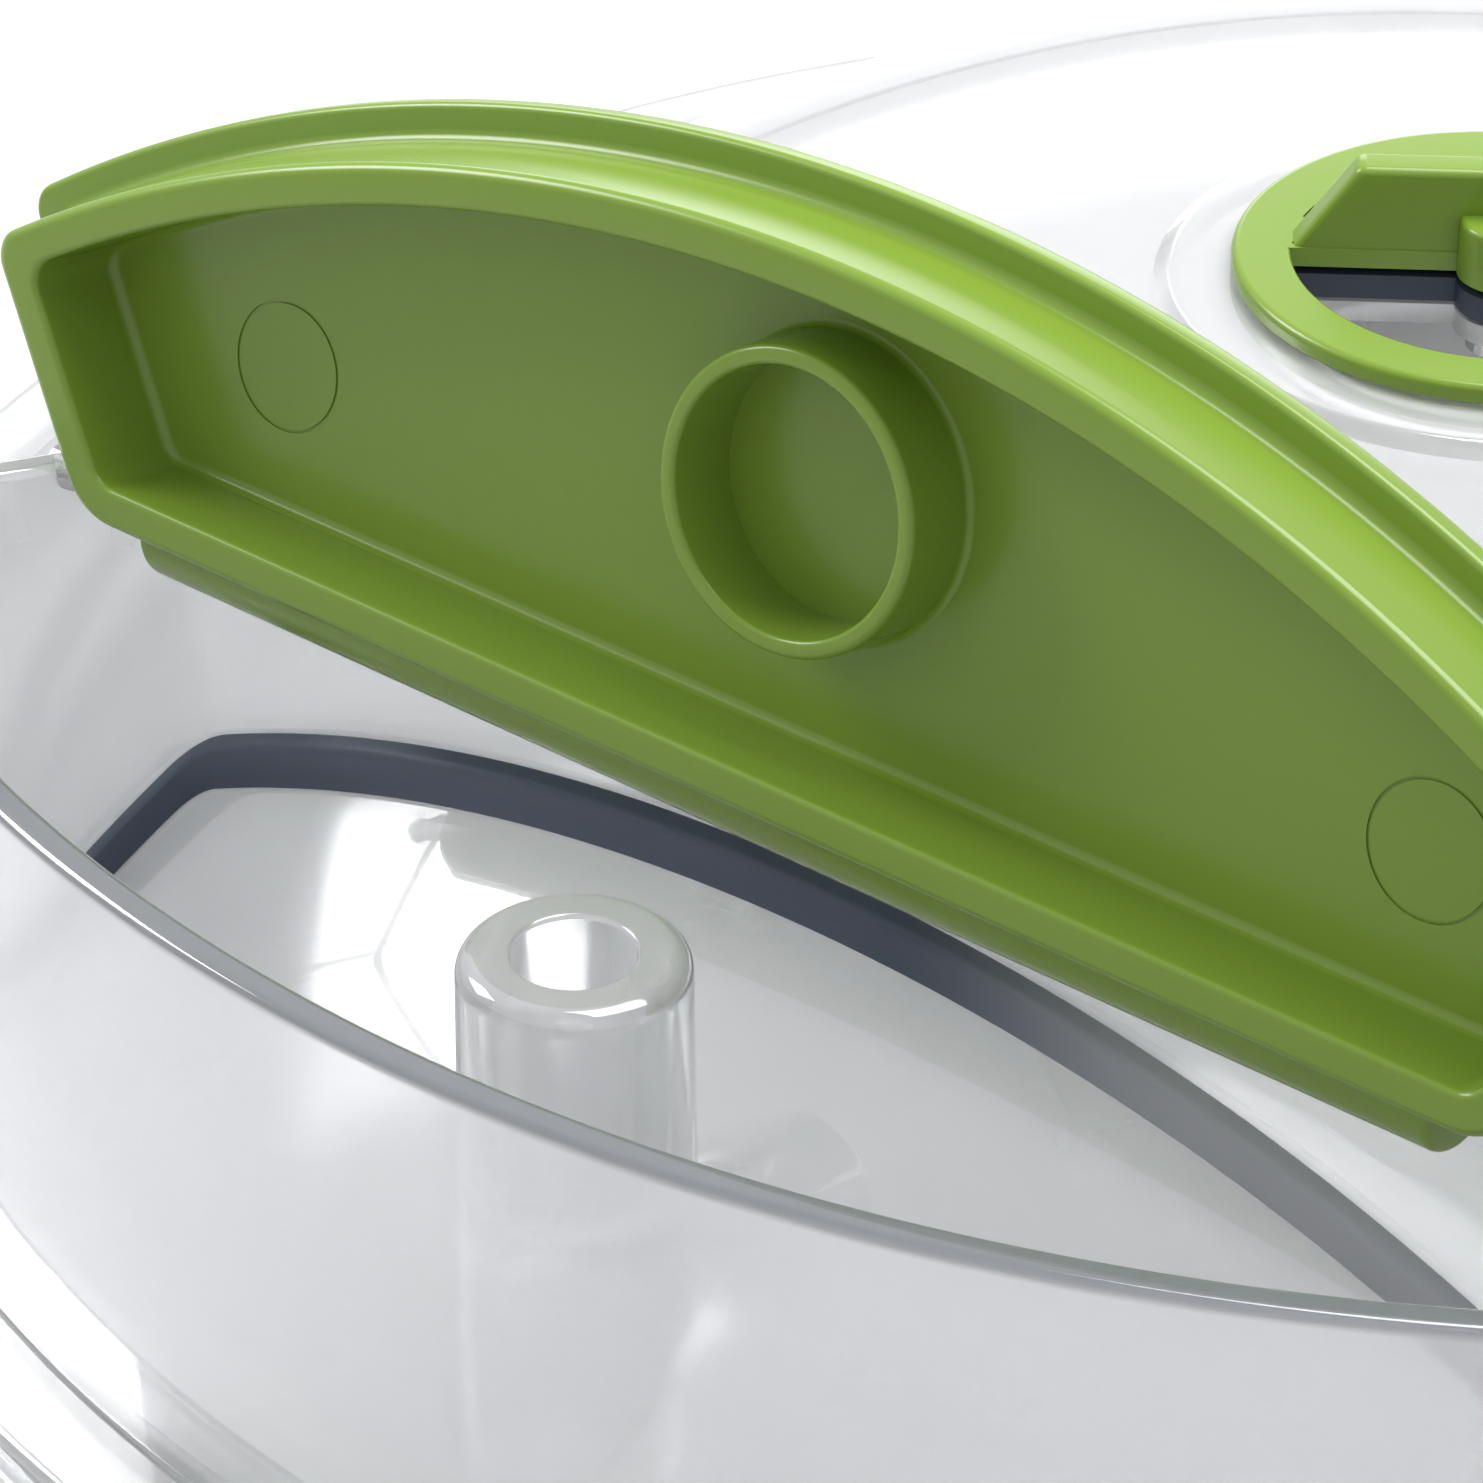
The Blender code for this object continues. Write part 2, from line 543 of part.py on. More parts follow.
def make_lid():
    wall_outer = d_outline(WELL_CHORD_Y + WELL_WALL, RIM_R, HATCH_WALL + WELL_CLEAR + WELL_WALL,
                           WELL_CORNER_R + WELL_WALL)
    wall_inner = d_outline(WELL_CHORD_Y, RIM_R - RIM_WALL, HATCH_WALL + WELL_CLEAR, WELL_CORNER_R)
    collar = keep(prism(wall_outer, FLANGE_LOW + FLANGE_T / 2, RIM_Z, wall_inner), "collar", CLEAR)
    under = dome_profile(SHELL_T / 2, DIAL_R, RIM_R + RIM_WALL, 9)
    below = FLANGE_LOW - SKIRT_HEIGHT
    under = [(0, under[0][1])] + under + [(RIM_R + RIM_WALL, below), (0, below)]
    combine(collar, turned(under), "DIFFERENCE", "MANIFOLD")

    upper = dome_profile(0, STEP_R, RIM_R - 1 * MM, 8)
    step_slope = 1.2 * MM
    shell = [(SEAT_R, SEAT_TOP), (STEP_R - step_slope, SEAT_TOP)] + upper
    shell += [(RIM_R, FLANGE_TOP), (FLANGE_R, FLANGE_TOP), (FLANGE_R, FLANGE_LOW),
              (SPIGOT_R, FLANGE_LOW), (SPIGOT_R, FLANGE_LOW - SPIGOT_DEPTH),
              (SPIGOT_R - SPIGOT_WALL, FLANGE_LOW - SPIGOT_DEPTH)]
    lower = dome_profile(SHELL_T, SEAT_R, SPIGOT_R - SPIGOT_WALL, 7)
    lower[0] = (SEAT_R, SHELF_TOP - SHELF_T)
    shell += lower[::-1]
    lid = keep(turned(shell), "lid_shell", CLEAR)
    add = collar.data.copy()
    bpy.data.objects.remove(collar, do_unlink=True)
    mesh = bmesh.new()
    mesh.from_mesh(add)
    combine(lid, mesh, "UNION", "MANIFOLD")

    # hollow post on the floor of the well
    floor = dome(-POST_Y + POST_R) - SHELL_T / 2
    top = RIM_Z - POST_DROP
    edge = POST_EDGE_R
    post = [(0, floor), (POST_R + POST_DRAFT, floor), (POST_R, top - edge),
            (POST_R - edge * 0.3, top - edge * 0.3), (POST_R - edge, top), (POST_BORE_R, top),
            (POST_BORE_R - POST_DRAFT, top - POST_BORE_DEPTH), (0, top - POST_BORE_DEPTH)]
    combine(lid, turned(post, 32, (0, POST_Y, 0)), "UNION", "MANIFOLD")

    # shelf that carries the dial's seal plate and pivot
    shelf = half_disc(SEAT_R + 1 * MM, DIAL_HUB_R, DIAL_ANGLE)
    combine(lid, prism(shelf, SHELF_TOP - SHELF_T, SHELF_TOP), "UNION", "MANIFOLD")
    combine(lid, rod(DIAL_PIN_R + RUN_GAP, -5 * MM, 5 * MM, (0, 0, SHELF_TOP)), "DIFFERENCE", "MANIFOLD")

    # tower that carries the crank's bush
    tower_low = dome(CRANK_DIST + TOWER_R) - SHELL_T / 2
    tower = rod(TOWER_R, tower_low, TOWER_TOP, (CRANK_AT.x, CRANK_AT.y, 0), 32)
    combine(lid, tower, "UNION", "MANIFOLD")
    hole = rod(CRANK_HOLE_R, tower_low - SKIRT_HEIGHT, TOWER_TOP + SKIRT_HEIGHT,
               (CRANK_AT.x, CRANK_AT.y, 0), 32)
    combine(lid, hole, "DIFFERENCE", "MANIFOLD")
    guide = rod(GUIDE_R, dome(BRAKE_R + GUIDE_R) - SHELL_T / 2, BRAKE_SEAT, (BRAKE_AT.x, BRAKE_AT.y, 0))
    combine(lid, guide, "UNION", "MANIFOLD")
    combine(lid, rod(BUTTON_HOLE_R, FLANGE_LOW, RIM_Z, (BRAKE_AT.x, BRAKE_AT.y, 0)), "DIFFERENCE", "MANIFOLD")

    # bosses that carry the gear tray, and the idler's boss
    places = [(place, BOSS_R, SCREW_R) for place in boss_places()]
    for place, radius, bore in places + [(IDLER_AT, BOSS_R, 0)]:
        r = place.length
        end = GEAR_TOP + 2 * GAP if bore == 0 else TRAY_TOP + GAP
        top = dome(r + radius) - SHELL_T / 2
        combine(lid, rod(radius, end, top, (place.x, place.y, 0), 16), "UNION", "MANIFOLD")
        depth = 8 * MM
        hole_r = (bore or SHAFT_R * 0.6) + RUN_GAP
        combine(lid, rod(hole_r, end - depth, end + depth, (place.x, place.y, 0), 16), "DIFFERENCE", "MANIFOLD")

    # bores for the hatch's hinge pins, through the ends of the well
    reach = HATCH_HALF + 14 * MM
    for side in (-1, 1):
        start = PIN_INNER if side > 0 else -reach
        bore = rod(HINGE_PIN_R + RUN_GAP, 0, reach - PIN_INNER, (0, 0, 0), 16)
        combine(lid, along_x(bore, start, HINGE_Y, HINGE_Z), "DIFFERENCE", "MANIFOLD")
    smooth(lid)


make_lid()


def make_seals():
    """Navy strip round the foot of the well, and the silicone ring on the lid's spigot."""
    outer = d_outline(WELL_CHORD_Y - GAP, RIM_R - RIM_WALL - GAP,
                      HATCH_WALL + WELL_CLEAR - GAP, WELL_CORNER_R)
    inner = d_outline(WELL_CHORD_Y - GAP - GASKET_T, RIM_R - RIM_WALL - GAP - GASKET_T,
                      HATCH_WALL + WELL_CLEAR - GAP - GASKET_T, WELL_CORNER_R - GASKET_T)
    strip = keep(prism(outer, FLANGE_LOW, RIM_Z, inner), "well_gasket", NAVY)
    low = dome_profile(-GAP, STEP_R, GASKET_END_R, 12)
    high = dome_profile(-GAP - GASKET_H, STEP_R, GASKET_END_R, 12)
    combine(strip, turned(low + high[::-1]), "INTERSECT")
    smooth(strip)
    ring = [(SPIGOT_R + GAP, FLANGE_LOW - SPIGOT_DEPTH + 1 * MM),
            (SPIGOT_R + GAP + SEAL_T, FLANGE_LOW - SPIGOT_DEPTH / 2),
            (SPIGOT_R + GAP, FLANGE_LOW - 1 * MM)]
    smooth(keep(turned(ring), "lid_seal", RUBBER))


make_seals()


# ---------------------------------------------------------------- hatch and its hinge pins
def make_hatch():
    """Built closed round its hinge axis, then swung open."""
    shift = Matrix.Translation((0, -HINGE_Y, -HINGE_Z))
    plate_low = HATCH_GAP_Z
    plate_top = HATCH_GAP_Z + HATCH_PLATE_T
    wall_low = RIM_Z - HATCH_DEPTH
    plate = d_outline(HINGE_Y, HATCH_ARC_R + HATCH_WALL + HATCH_OVERHANG,
                      HATCH_WALL + HATCH_OVERHANG, HATCH_CORNER_R)
    plug = d_outline(HATCH_CHORD_Y + HATCH_WALL, HATCH_ARC_R + HATCH_WALL, HATCH_WALL,
                     HATCH_CORNER_R + HATCH_WALL)
    inside = d_outline(HATCH_CHORD_Y, HATCH_ARC_R, 0, HATCH_CORNER_R)
    hatch = keep(prism(plate, plate_low, plate_top), "hatch", GREEN)
    combine(hatch, prism(plug, wall_low, plate_top - HATCH_PLATE_T / 2), "UNION")
    half = HATCH_HALF - HINGE_END_RELIEF
    for side in (-1, 1):
        far = (HATCH_HALF + SKIRT_HEIGHT) * side
        back = HINGE_Y + HATCH_DEPTH
        sunk = RIM_Z - HINGE_RELIEF_SINK
        for start, depth, low in ((half, HINGE_WALL_RELIEF, sunk),
                                  (half, HINGE_RELIEF_DEPTH, plate_low + HINGE_PLATE_RELIEF),
                                  (HATCH_HALF + HATCH_WALL / 2, HINGE_RELIEF_DEPTH, sunk)):
            near = start * side
            front = HINGE_Y - depth
            notch = [(near, front), (far, front), (far, back), (near, back)]
            combine(hatch, prism(notch, low, RIM_Z + HATCH_DEPTH), "DIFFERENCE")
    barrel = rod(HINGE_BARREL_R, -half, half, (0, 0, 0), 32)
    combine(hatch, along_x(barrel, 0, HINGE_Y, HINGE_Z), "UNION")
    combine(hatch, prism(inside, wall_low - HATCH_DEPTH, plate_low), "DIFFERENCE")
    tube = [(TUBE_R - TUBE_WALL, RIM_Z - TUBE_DEPTH), (TUBE_R, RIM_Z - TUBE_DEPTH),
            (TUBE_R, plate_top - HATCH_PLATE_T / 2), (TUBE_R - TUBE_WALL, plate_top - HATCH_PLATE_T / 2)]
    combine(hatch, turned(tube, 40, (0, TUBE_Y, 0)), "UNION")
    for side in (-1, 1):
        start = PIN_INNER - GAP if side > 0 else -PIN_INNER + GAP - HATCH_HALF
        bore = rod(HINGE_PIN_R + RUN_GAP, 0, HATCH_HALF, (0, 0, 0), 16)
        combine(hatch, along_x(bore, start, HINGE_Y, HINGE_Z), "DIFFERENCE")
    hatch.data.transform(shift)
    hatch.location = (0, HINGE_Y, HINGE_Z)
    hatch.rotation_euler = (-HATCH_OPEN, 0, 0)
    smooth(hatch)
    pin_out = HATCH_HALF + HATCH_WALL + WELL_CLEAR + WELL_WALL + 1.5 * MM
    for side, name in ((-1, "hatch_pin_left"), (1, "hatch_pin_right")):
        start = PIN_INNER if side > 0 else -pin_out
        pin = along_x(rod(HINGE_PIN_R, 0, pin_out - PIN_INNER, (0, 0, 0), 16), start, HINGE_Y, HINGE_Z)
        smooth(keep(pin, name, STEEL))


make_hatch()


# ---------------------------------------------------------------- dial, its seal plate and pivot
def make_dial():
    low = SEAT_TOP + GAP
    top = low + DIAL_T
    turn = Matrix.Rotation(DIAL_ANGLE, 4, "Z")
    ring = [(DIAL_VENT_R, low), (DIAL_R, low), (DIAL_R, top - 0.4 * MM), (DIAL_R - 0.4 * MM, top),
            (DIAL_VENT_R, top)]
    dial = keep(turned(ring, 40), "dial", GREEN)
    disc = half_disc(DIAL_VENT_R + 1 * MM, DIAL_HUB_R, DIAL_ANGLE)
    combine(dial, prism(disc, low, top), "UNION")
    grip = bmesh.new()
    corners = ((DIAL_VENT_R - 0.2 * MM, low + 0.1 * MM), (DIAL_VENT_R - 0.2 * MM, top),
               (DIAL_GRIP_TOP, top + DIAL_GRIP_H), (-DIAL_GRIP_TOP, top + DIAL_GRIP_H),
               (-DIAL_VENT_R + 0.2 * MM, top), (-DIAL_VENT_R + 0.2 * MM, low + 0.1 * MM))
    inset = 0.1 * MM
    front = [grip.verts.new((x, inset, z)) for x, z in corners]
    back = [grip.verts.new((x, DIAL_GRIP_T + inset, z)) for x, z in corners]
    for i in range(len(corners)):
        j = (i + 1) % len(corners)
        grip.faces.new((front[i], front[j], back[j], back[i]))
    grip.faces.new(front)
    grip.faces.new(back)
    grip.transform(turn)
    combine(dial, grip, "UNION")
    combine(dial, rod(DIAL_HUB_R, top - DIAL_T / 2, top + 3 * MM, (0, 0, 0)), "UNION")
    pin_hole = rod(DIAL_PIN_R + RUN_GAP, low - SHELL_T, top + 2 * MM, (0, 0, 0))
    combine(dial, pin_hole, "DIFFERENCE")
    smooth(dial)
    plate = half_disc(SEAT_R - GAP, DIAL_HUB_R, DIAL_ANGLE)
    seal = keep(prism(plate, SHELF_TOP + GAP, SHELF_TOP + GAP + SEAL_PLATE_T), "dial_seal", NAVY)
    combine(seal, rod(DIAL_PIN_R + RUN_GAP, SHELF_TOP, SEAT_TOP + SHELL_T, (0, 0, 0)), "DIFFERENCE")
    smooth(seal)
    head = SHELF_TOP - SHELF_T - GAP
    pin = [(0, head - 1.2 * MM), (DIAL_HUB_R - 1 * MM, head - 1.2 * MM), (DIAL_HUB_R - 1 * MM, head),
           (DIAL_PIN_R, head), (DIAL_PIN_R, top + 2 * MM - GAP), (0, top + 2 * MM - GAP)]
    smooth(keep(turned(pin, SMALL), "dial_pivot", STEEL))


make_dial()


# ---------------------------------------------------------------- gear train
def make_gears():
    low = GEAR_TOP - GEAR_T
    along = DRIVE_ANGLE
    sleeve_phase = along
    idler_pitch = 2 * math.pi / IDLER_TEETH
    idler_phase = along + math.pi + idler_pitch / 2
    crank_pitch = 2 * math.pi / CRANK_TEETH
    # the idler shows a tooth or a gap to the crank gear, and the crank gear answers it
    shift = ((along - idler_phase) / idler_pitch) % 1.0
    crank_phase = along + math.pi + (0.5 - shift) * crank_pitch

    outline = gear_outline(SLEEVE_TEETH, (0, 0), sleeve_phase)
    sleeve = keep(prism(outline, low, GEAR_TOP), "drive_sleeve", WHITE)
    combine(sleeve, rod(SLEEVE_BORE_R, TRAY_TOP, RIM_Z, (0, 0, 0), 32), "DIFFERENCE", "MANIFOLD")
    outer = SLEEVE_BORE_R + SLEEVE_WALL
    funnel = RIM_Z - FUNNEL_TOP_DROP
    neck = funnel - FUNNEL_HEIGHT
    collar_t = 1.5 * MM
    tube = [(SLEEVE_BORE_R, TRAY_TOP - TRAY_T - GAP), (outer, TRAY_TOP - TRAY_T - GAP),
            (outer, GEAR_TOP + collar_t), (outer, neck), (FUNNEL_R, funnel),
            (FUNNEL_R - SLEEVE_WALL, funnel), (SLEEVE_BORE_R, neck - SLEEVE_WALL)]
    combine(sleeve, turned(tube, 32), "UNION", "MANIFOLD")
    dog_top = TRAY_TOP - TRAY_T
    hexagon = keep(rod(HEX_R * 1.12, DOG_LOW, dog_top, (0, 0, 0), DOG_SIDES), "hexagon", WHITE)
    combine(hexagon, rod(HEX_R, DOG_LOW - TRAY_T, RIM_Z, (0, 0, 0), 48), "INTERSECT")
    combine(hexagon, rod(SLEEVE_BORE_R, DOG_LOW - TRAY_T, RIM_Z, (0, 0, 0), 32), "DIFFERENCE")
    mesh = bmesh.new()
    mesh.from_mesh(hexagon.data)
    bpy.data.objects.remove(hexagon, do_unlink=True)
    combine(sleeve, mesh, "UNION", "MANIFOLD")
    smooth(sleeve)

    bush_in = outer + RUN_GAP
    bush_out = bush_in + BUSH_WALL
    ring = [(bush_in, TRAY_TOP - TRAY_T), (bush_out, TRAY_TOP - TRAY_T), (bush_out, TRAY_TOP + GAP),
            (bush_out + 2 * MM, TRAY_TOP + GAP), (bush_out + 2 * MM, TRAY_TOP + GAP + 1.5 * MM),
            (bush_in, TRAY_TOP + GAP + 1.5 * MM)]
    smooth(keep(turned(ring, 32), "sleeve_bush", WHITE))

    pin_r = SHAFT_R * 0.6
    outline = gear_outline(IDLER_TEETH, IDLER_AT, idler_phase)
    idler = keep(prism(outline, low, GEAR_TOP), "idler_gear", WHITE)
    bore = rod(pin_r + RUN_GAP, TRAY_TOP, RIM_Z, (IDLER_AT.x, IDLER_AT.y, 0), 16)
    combine(idler, bore, "DIFFERENCE", "MANIFOLD")
    smooth(idler)
    smooth(keep(rod(pin_r, low - 1 * MM, GEAR_TOP + 7.5 * MM, (IDLER_AT.x, IDLER_AT.y, 0), 16),
                "idler_pin", STEEL))

    outline = gear_outline(CRANK_TEETH, CRANK_AT, crank_phase)
    gear = keep(prism(outline, low, GEAR_TOP), "crank_gear", WHITE)
    bore = rod(SHAFT_R + GAP, TRAY_TOP, RIM_Z, (CRANK_AT.x, CRANK_AT.y, 0))
    combine(gear, bore, "DIFFERENCE", "MANIFOLD")
    smooth(gear)


make_gears()


# ---------------------------------------------------------------- tray, screws
def make_tray():
    hole_r = SLEEVE_BORE_R + SLEEVE_WALL + RUN_GAP + BUSH_WALL + GAP
    plate = [(hole_r, TRAY_TOP - TRAY_T), (TRAY_R, TRAY_TOP - TRAY_T), (TRAY_R, TRAY_TOP + TRAY_RIM),
             (TRAY_R - TRAY_T, TRAY_TOP + TRAY_RIM), (TRAY_R - TRAY_T, TRAY_TOP), (hole_r, TRAY_TOP)]
    tray = keep(turned(plate), "gear_tray", WHITE)
    for place in boss_places():
        combine(tray, rod(SCREW_R + GAP, -TRAY_T * 2, TRAY_T, (place.x, place.y, TRAY_TOP), 16),
                "DIFFERENCE")
    stem = rod(BUTTON_HOLE_R + GAP, -TRAY_T * 2, TRAY_T, (BRAKE_AT.x, BRAKE_AT.y, TRAY_TOP))
    combine(tray, stem, "DIFFERENCE")
    smooth(tray)
    for number, place in enumerate(boss_places(), 1):
        head = TRAY_TOP - TRAY_T - GAP
        screw = turned([(0, head - SCREW_HEAD_T), (SCREW_HEAD_R - 0.5 * MM, head - SCREW_HEAD_T),
                        (SCREW_HEAD_R, head), (SCREW_R, head), (SCREW_R, head + 9 * MM),
                        (0, head + 9 * MM)], 16, (place.x, place.y, 0))
        smooth(keep(screw, f"tray_screw_{number}", STEEL))


make_tray()


# ---------------------------------------------------------------- crank
def make_crank():
    x, y = CRANK_AT.x, CRANK_AT.y
    gear_low = GEAR_TOP - GEAR_T
    arm_top = ARM_LOW + ARM_T
    bush_out = CRANK_HOLE_R - GAP
    low = dome(CRANK_DIST + TOWER_R) - SHELL_T - 4 * MM
    bush = [(SHAFT_R + RUN_GAP, low), (bush_out, low), (bush_out, TOWER_TOP + GAP),
            (bush_out + 2 * MM, TOWER_TOP + GAP), (bush_out + 2 * MM, TOWER_TOP + 1 * MM),
            (SHAFT_R + RUN_GAP, TOWER_TOP + 1 * MM)]
    smooth(keep(turned(bush, SMALL, (x, y, 0)), "crank_bush", WHITE))
    screw_hole = SCREW_R + RUN_GAP
    shaft = [(0, gear_low - GAP), (SHAFT_R, gear_low - GAP), (SHAFT_R, arm_top - 2.2 * MM),
             (screw_hole, arm_top - 2.2 * MM), (screw_hole, arm_top - 10 * MM), (0, arm_top - 10 * MM)]
    smooth(keep(turned(shaft, SMALL, (x, y, 0)), "crank_shaft", STEEL))
    head = arm_top + GAP
    screw = [(0, arm_top - 9 * MM), (SCREW_R, arm_top - 9 * MM), (SCREW_R, head),
             (SHAFT_R + 1 * MM, head), (SHAFT_R + 1 * MM, head + 1 * MM),
             (SHAFT_R, head + 1.8 * MM), (0, head + 1.8 * MM)]
    smooth(keep(turned(screw, SMALL, (x, y, 0)), "arm_screw", STEEL))

    steps = 14
    outline = []
    for centre, start in ((ARM_LENGTH, -math.pi / 2), (0, math.pi / 2)):
        for i in range(steps + 1):
            a = start + math.pi * i / steps
            spot = Matrix.Rotation(DRIVE_ANGLE, 2) @ Vector((centre + ARM_END_R * math.cos(a),
                                                             ARM_END_R * math.sin(a)))
            outline.append((x + spot.x, y + spot.y))
    arm = keep(prism(outline, ARM_LOW, arm_top), "crank_arm", GREEN)
    bevel = arm.modifiers.new("edge", "BEVEL")
    bevel.width = 1.0 * MM
    bevel.segments = 1
    bevel.angle_limit = math.radians(60)
    blind = rod(SHAFT_R + GAP, ARM_LOW - 1 * MM, arm_top - 2.2 * MM + GAP, (x, y, 0))
    combine(arm, blind, "DIFFERENCE")
    combine(arm, rod(SCREW_R + GAP, ARM_LOW, arm_top + 1 * MM, (x, y, 0), 16), "DIFFERENCE")
    knob_at = CRANK_AT + DRIVE_DIR * ARM_LENGTH
    combine(arm, rod(KNOB_PIN_R + GAP, ARM_LOW - 1 * MM, arm_top + 1 * MM, (knob_at.x, knob_at.y, 0), 16),
            "DIFFERENCE")
    smooth(arm)

    knob_low = arm_top + 0.5 * MM
    knob_top = knob_low + KNOB_H
    pin_top = knob_low + KNOB_H * 0.7
    pin = [(0, ARM_LOW + 0.5 * MM), (KNOB_PIN_R, ARM_LOW + 0.5 * MM), (KNOB_PIN_R, pin_top), (0, pin_top)]
    smooth(keep(turned(pin, 16, (knob_at.x, knob_at.y, 0)), "knob_pin", STEEL))
    bore = KNOB_PIN_R + RUN_GAP
    knob = [(bore, knob_low), (KNOB_R * 0.8, knob_low), (KNOB_R * 0.86, knob_low + 6 * MM),
            (KNOB_R, knob_low + 14 * MM), (KNOB_R * 0.97, knob_top - 4 * MM),
            (KNOB_R * 0.75, knob_top - 1 * MM), (KNOB_R * 0.3, knob_top), (0, knob_top),
            (0, pin_top + GAP), (bore, pin_top + GAP)]
    smooth(keep(turned(knob, 32, (knob_at.x, knob_at.y, 0)), "crank_knob", GREEN))


make_crank()


# ---------------------------------------------------------------- brake
def make_brake():
    x, y = BRAKE_AT.x, BRAKE_AT.y
    seat = BRAKE_SEAT
    cap_top = seat + BUTTON_RISE
    pad_low = COVER_Z + COVER_T + BRAKE_TRAVEL + GAP
    stem_low = pad_low + PAD_T
    button = [(0, stem_low + GAP), (STEM_R, stem_low + GAP), (STEM_R, cap_top - BUTTON_T),
              (BUTTON_R, cap_top - BUTTON_T), (BUTTON_R, cap_top - 0.8 * MM),
              (BUTTON_R - 0.8 * MM, cap_top), (0, cap_top + 0.5 * MM)]
    smooth(keep(turned(button, 32, (x, y, 0)), "brake_button", GREEN))
    pad = [(0, pad_low), (PAD_R, pad_low), (PAD_R, stem_low), (0, stem_low)]
    smooth(keep(turned(pad, 24, (x, y, 0)), "brake_pad", RUBBER))
    low = seat + SPRING_WIRE / 2 + GAP
    high = cap_top - BUTTON_T - SPRING_WIRE / 2 - GAP
    steps = 10 * SPRING_TURNS
    wire = bmesh.new()
    rings = []
    sides = 6
    for i in range(steps + 1):
        a = 2 * math.pi * SPRING_TURNS * i / steps
        middle = Vector((x + SPRING_R * math.cos(a), y + SPRING_R * math.sin(a),
                         low + (high - low) * i / steps))
        out = Vector((math.cos(a), math.sin(a), 0))
        ring = []
        for k in range(sides):
            b = 2 * math.pi * k / sides
            ring.append(wire.verts.new(middle + out * SPRING_WIRE / 2 * math.cos(b)
                                       + Vector((0, 0, 1)) * SPRING_WIRE / 2 * math.sin(b)))
        rings.append(ring)
    for a_ring, b_ring in zip(rings, rings[1:]):
        for k in range(sides):
            j = (k + 1) % sides
            wire.faces.new((a_ring[k], a_ring[j], b_ring[j], b_ring[k]))
    wire.faces.new(rings[0])
    wire.faces.new(rings[-1])
    smooth(keep(wire, "brake_spring", STEEL))


make_brake()
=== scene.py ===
import math

import bmesh
import bpy
from mathutils import Matrix, Vector


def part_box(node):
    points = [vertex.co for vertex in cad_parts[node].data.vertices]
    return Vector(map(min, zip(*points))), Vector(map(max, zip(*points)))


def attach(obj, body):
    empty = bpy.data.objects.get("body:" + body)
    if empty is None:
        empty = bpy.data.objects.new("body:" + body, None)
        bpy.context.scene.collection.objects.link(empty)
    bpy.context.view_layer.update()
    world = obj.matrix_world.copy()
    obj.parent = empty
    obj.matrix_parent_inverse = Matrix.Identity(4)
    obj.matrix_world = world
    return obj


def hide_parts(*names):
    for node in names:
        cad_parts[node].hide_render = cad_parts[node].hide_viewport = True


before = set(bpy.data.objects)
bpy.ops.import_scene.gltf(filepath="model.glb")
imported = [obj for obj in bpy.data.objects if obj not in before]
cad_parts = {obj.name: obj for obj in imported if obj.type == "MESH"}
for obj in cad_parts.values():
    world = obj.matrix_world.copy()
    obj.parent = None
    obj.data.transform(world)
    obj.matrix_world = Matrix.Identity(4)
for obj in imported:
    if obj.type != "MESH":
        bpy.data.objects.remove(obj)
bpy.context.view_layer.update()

# ---------------------------------------------------------------- camera
# A long lens looks down into the open well from the front right of the hatch.
MM = 0.001
GAP = 0.3 * MM
FLANGE_T = 2.2 * MM
SKIRT_HEIGHT = 43.3 * MM
RIM_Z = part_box("bowl")[1].z + GAP + FLANGE_T + SKIRT_HEIGHT
CAMERA_AZIMUTH = math.radians(39.45)
CAMERA_ELEVATION = math.radians(32.63)
CAMERA_DISTANCE = 398.3 * MM
CAMERA_TARGET = Vector((-2.99 * MM, -83.93 * MM, RIM_Z))
lens = bpy.data.cameras.new("camera")
lens.lens = 150.4
lens.sensor_width = 36
lens.clip_start = 0.01
camera = bpy.data.objects.new("camera", lens)
bpy.context.scene.collection.objects.link(camera)
outward = Vector((math.sin(CAMERA_AZIMUTH) * math.cos(CAMERA_ELEVATION),
                  -math.cos(CAMERA_AZIMUTH) * math.cos(CAMERA_ELEVATION),
                  math.sin(CAMERA_ELEVATION)))
camera.location = CAMERA_TARGET + outward * CAMERA_DISTANCE
camera.rotation_euler = outward.to_track_quat("Z", "Y").to_euler()
bpy.context.scene.camera = camera


# ---------------------------------------------------------------- bowl
# Clear injection-moulded bowl with a soft heel and a flat lip that the lid sits on.
# It is one shell of even wall, with a boss in its floor for the basket's steel pivot.
FOOT_HEIGHT = 3 * MM
BOWL_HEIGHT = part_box("bowl")[1].z
BOWL_TOP_R = 128.5 * MM
BOWL_BASE_R = 84 * MM
BOWL_WALL = 2.4 * MM
BOWL_HEEL = 14 * MM
BOWL_MOUTH = 12 * MM
BOWL_LIP_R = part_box("bowl")[1].x
BOWL_LIP_T = 3 * MM
PIVOT_BORE_R = 3.3 * MM


def shader_group(name, inputs, outputs):
    """Empty shader group with (name, default) inputs and named outputs; gives its tree and two ends."""
    tree = bpy.data.node_groups.new(name, "ShaderNodeTree")
    for label, value in inputs:
        kind = "NodeSocketColor" if isinstance(value, tuple) else "NodeSocketFloat"
        socket = tree.interface.new_socket(label, in_out="INPUT", socket_type=kind)
        socket.default_value = value
    for label in outputs:
        kind = "NodeSocketColor" if label == "Colour" else "NodeSocketFloat"
        tree.interface.new_socket(label, in_out="OUTPUT", socket_type=kind)
    return tree, tree.nodes.new("NodeGroupInput"), tree.nodes.new("NodeGroupOutput")


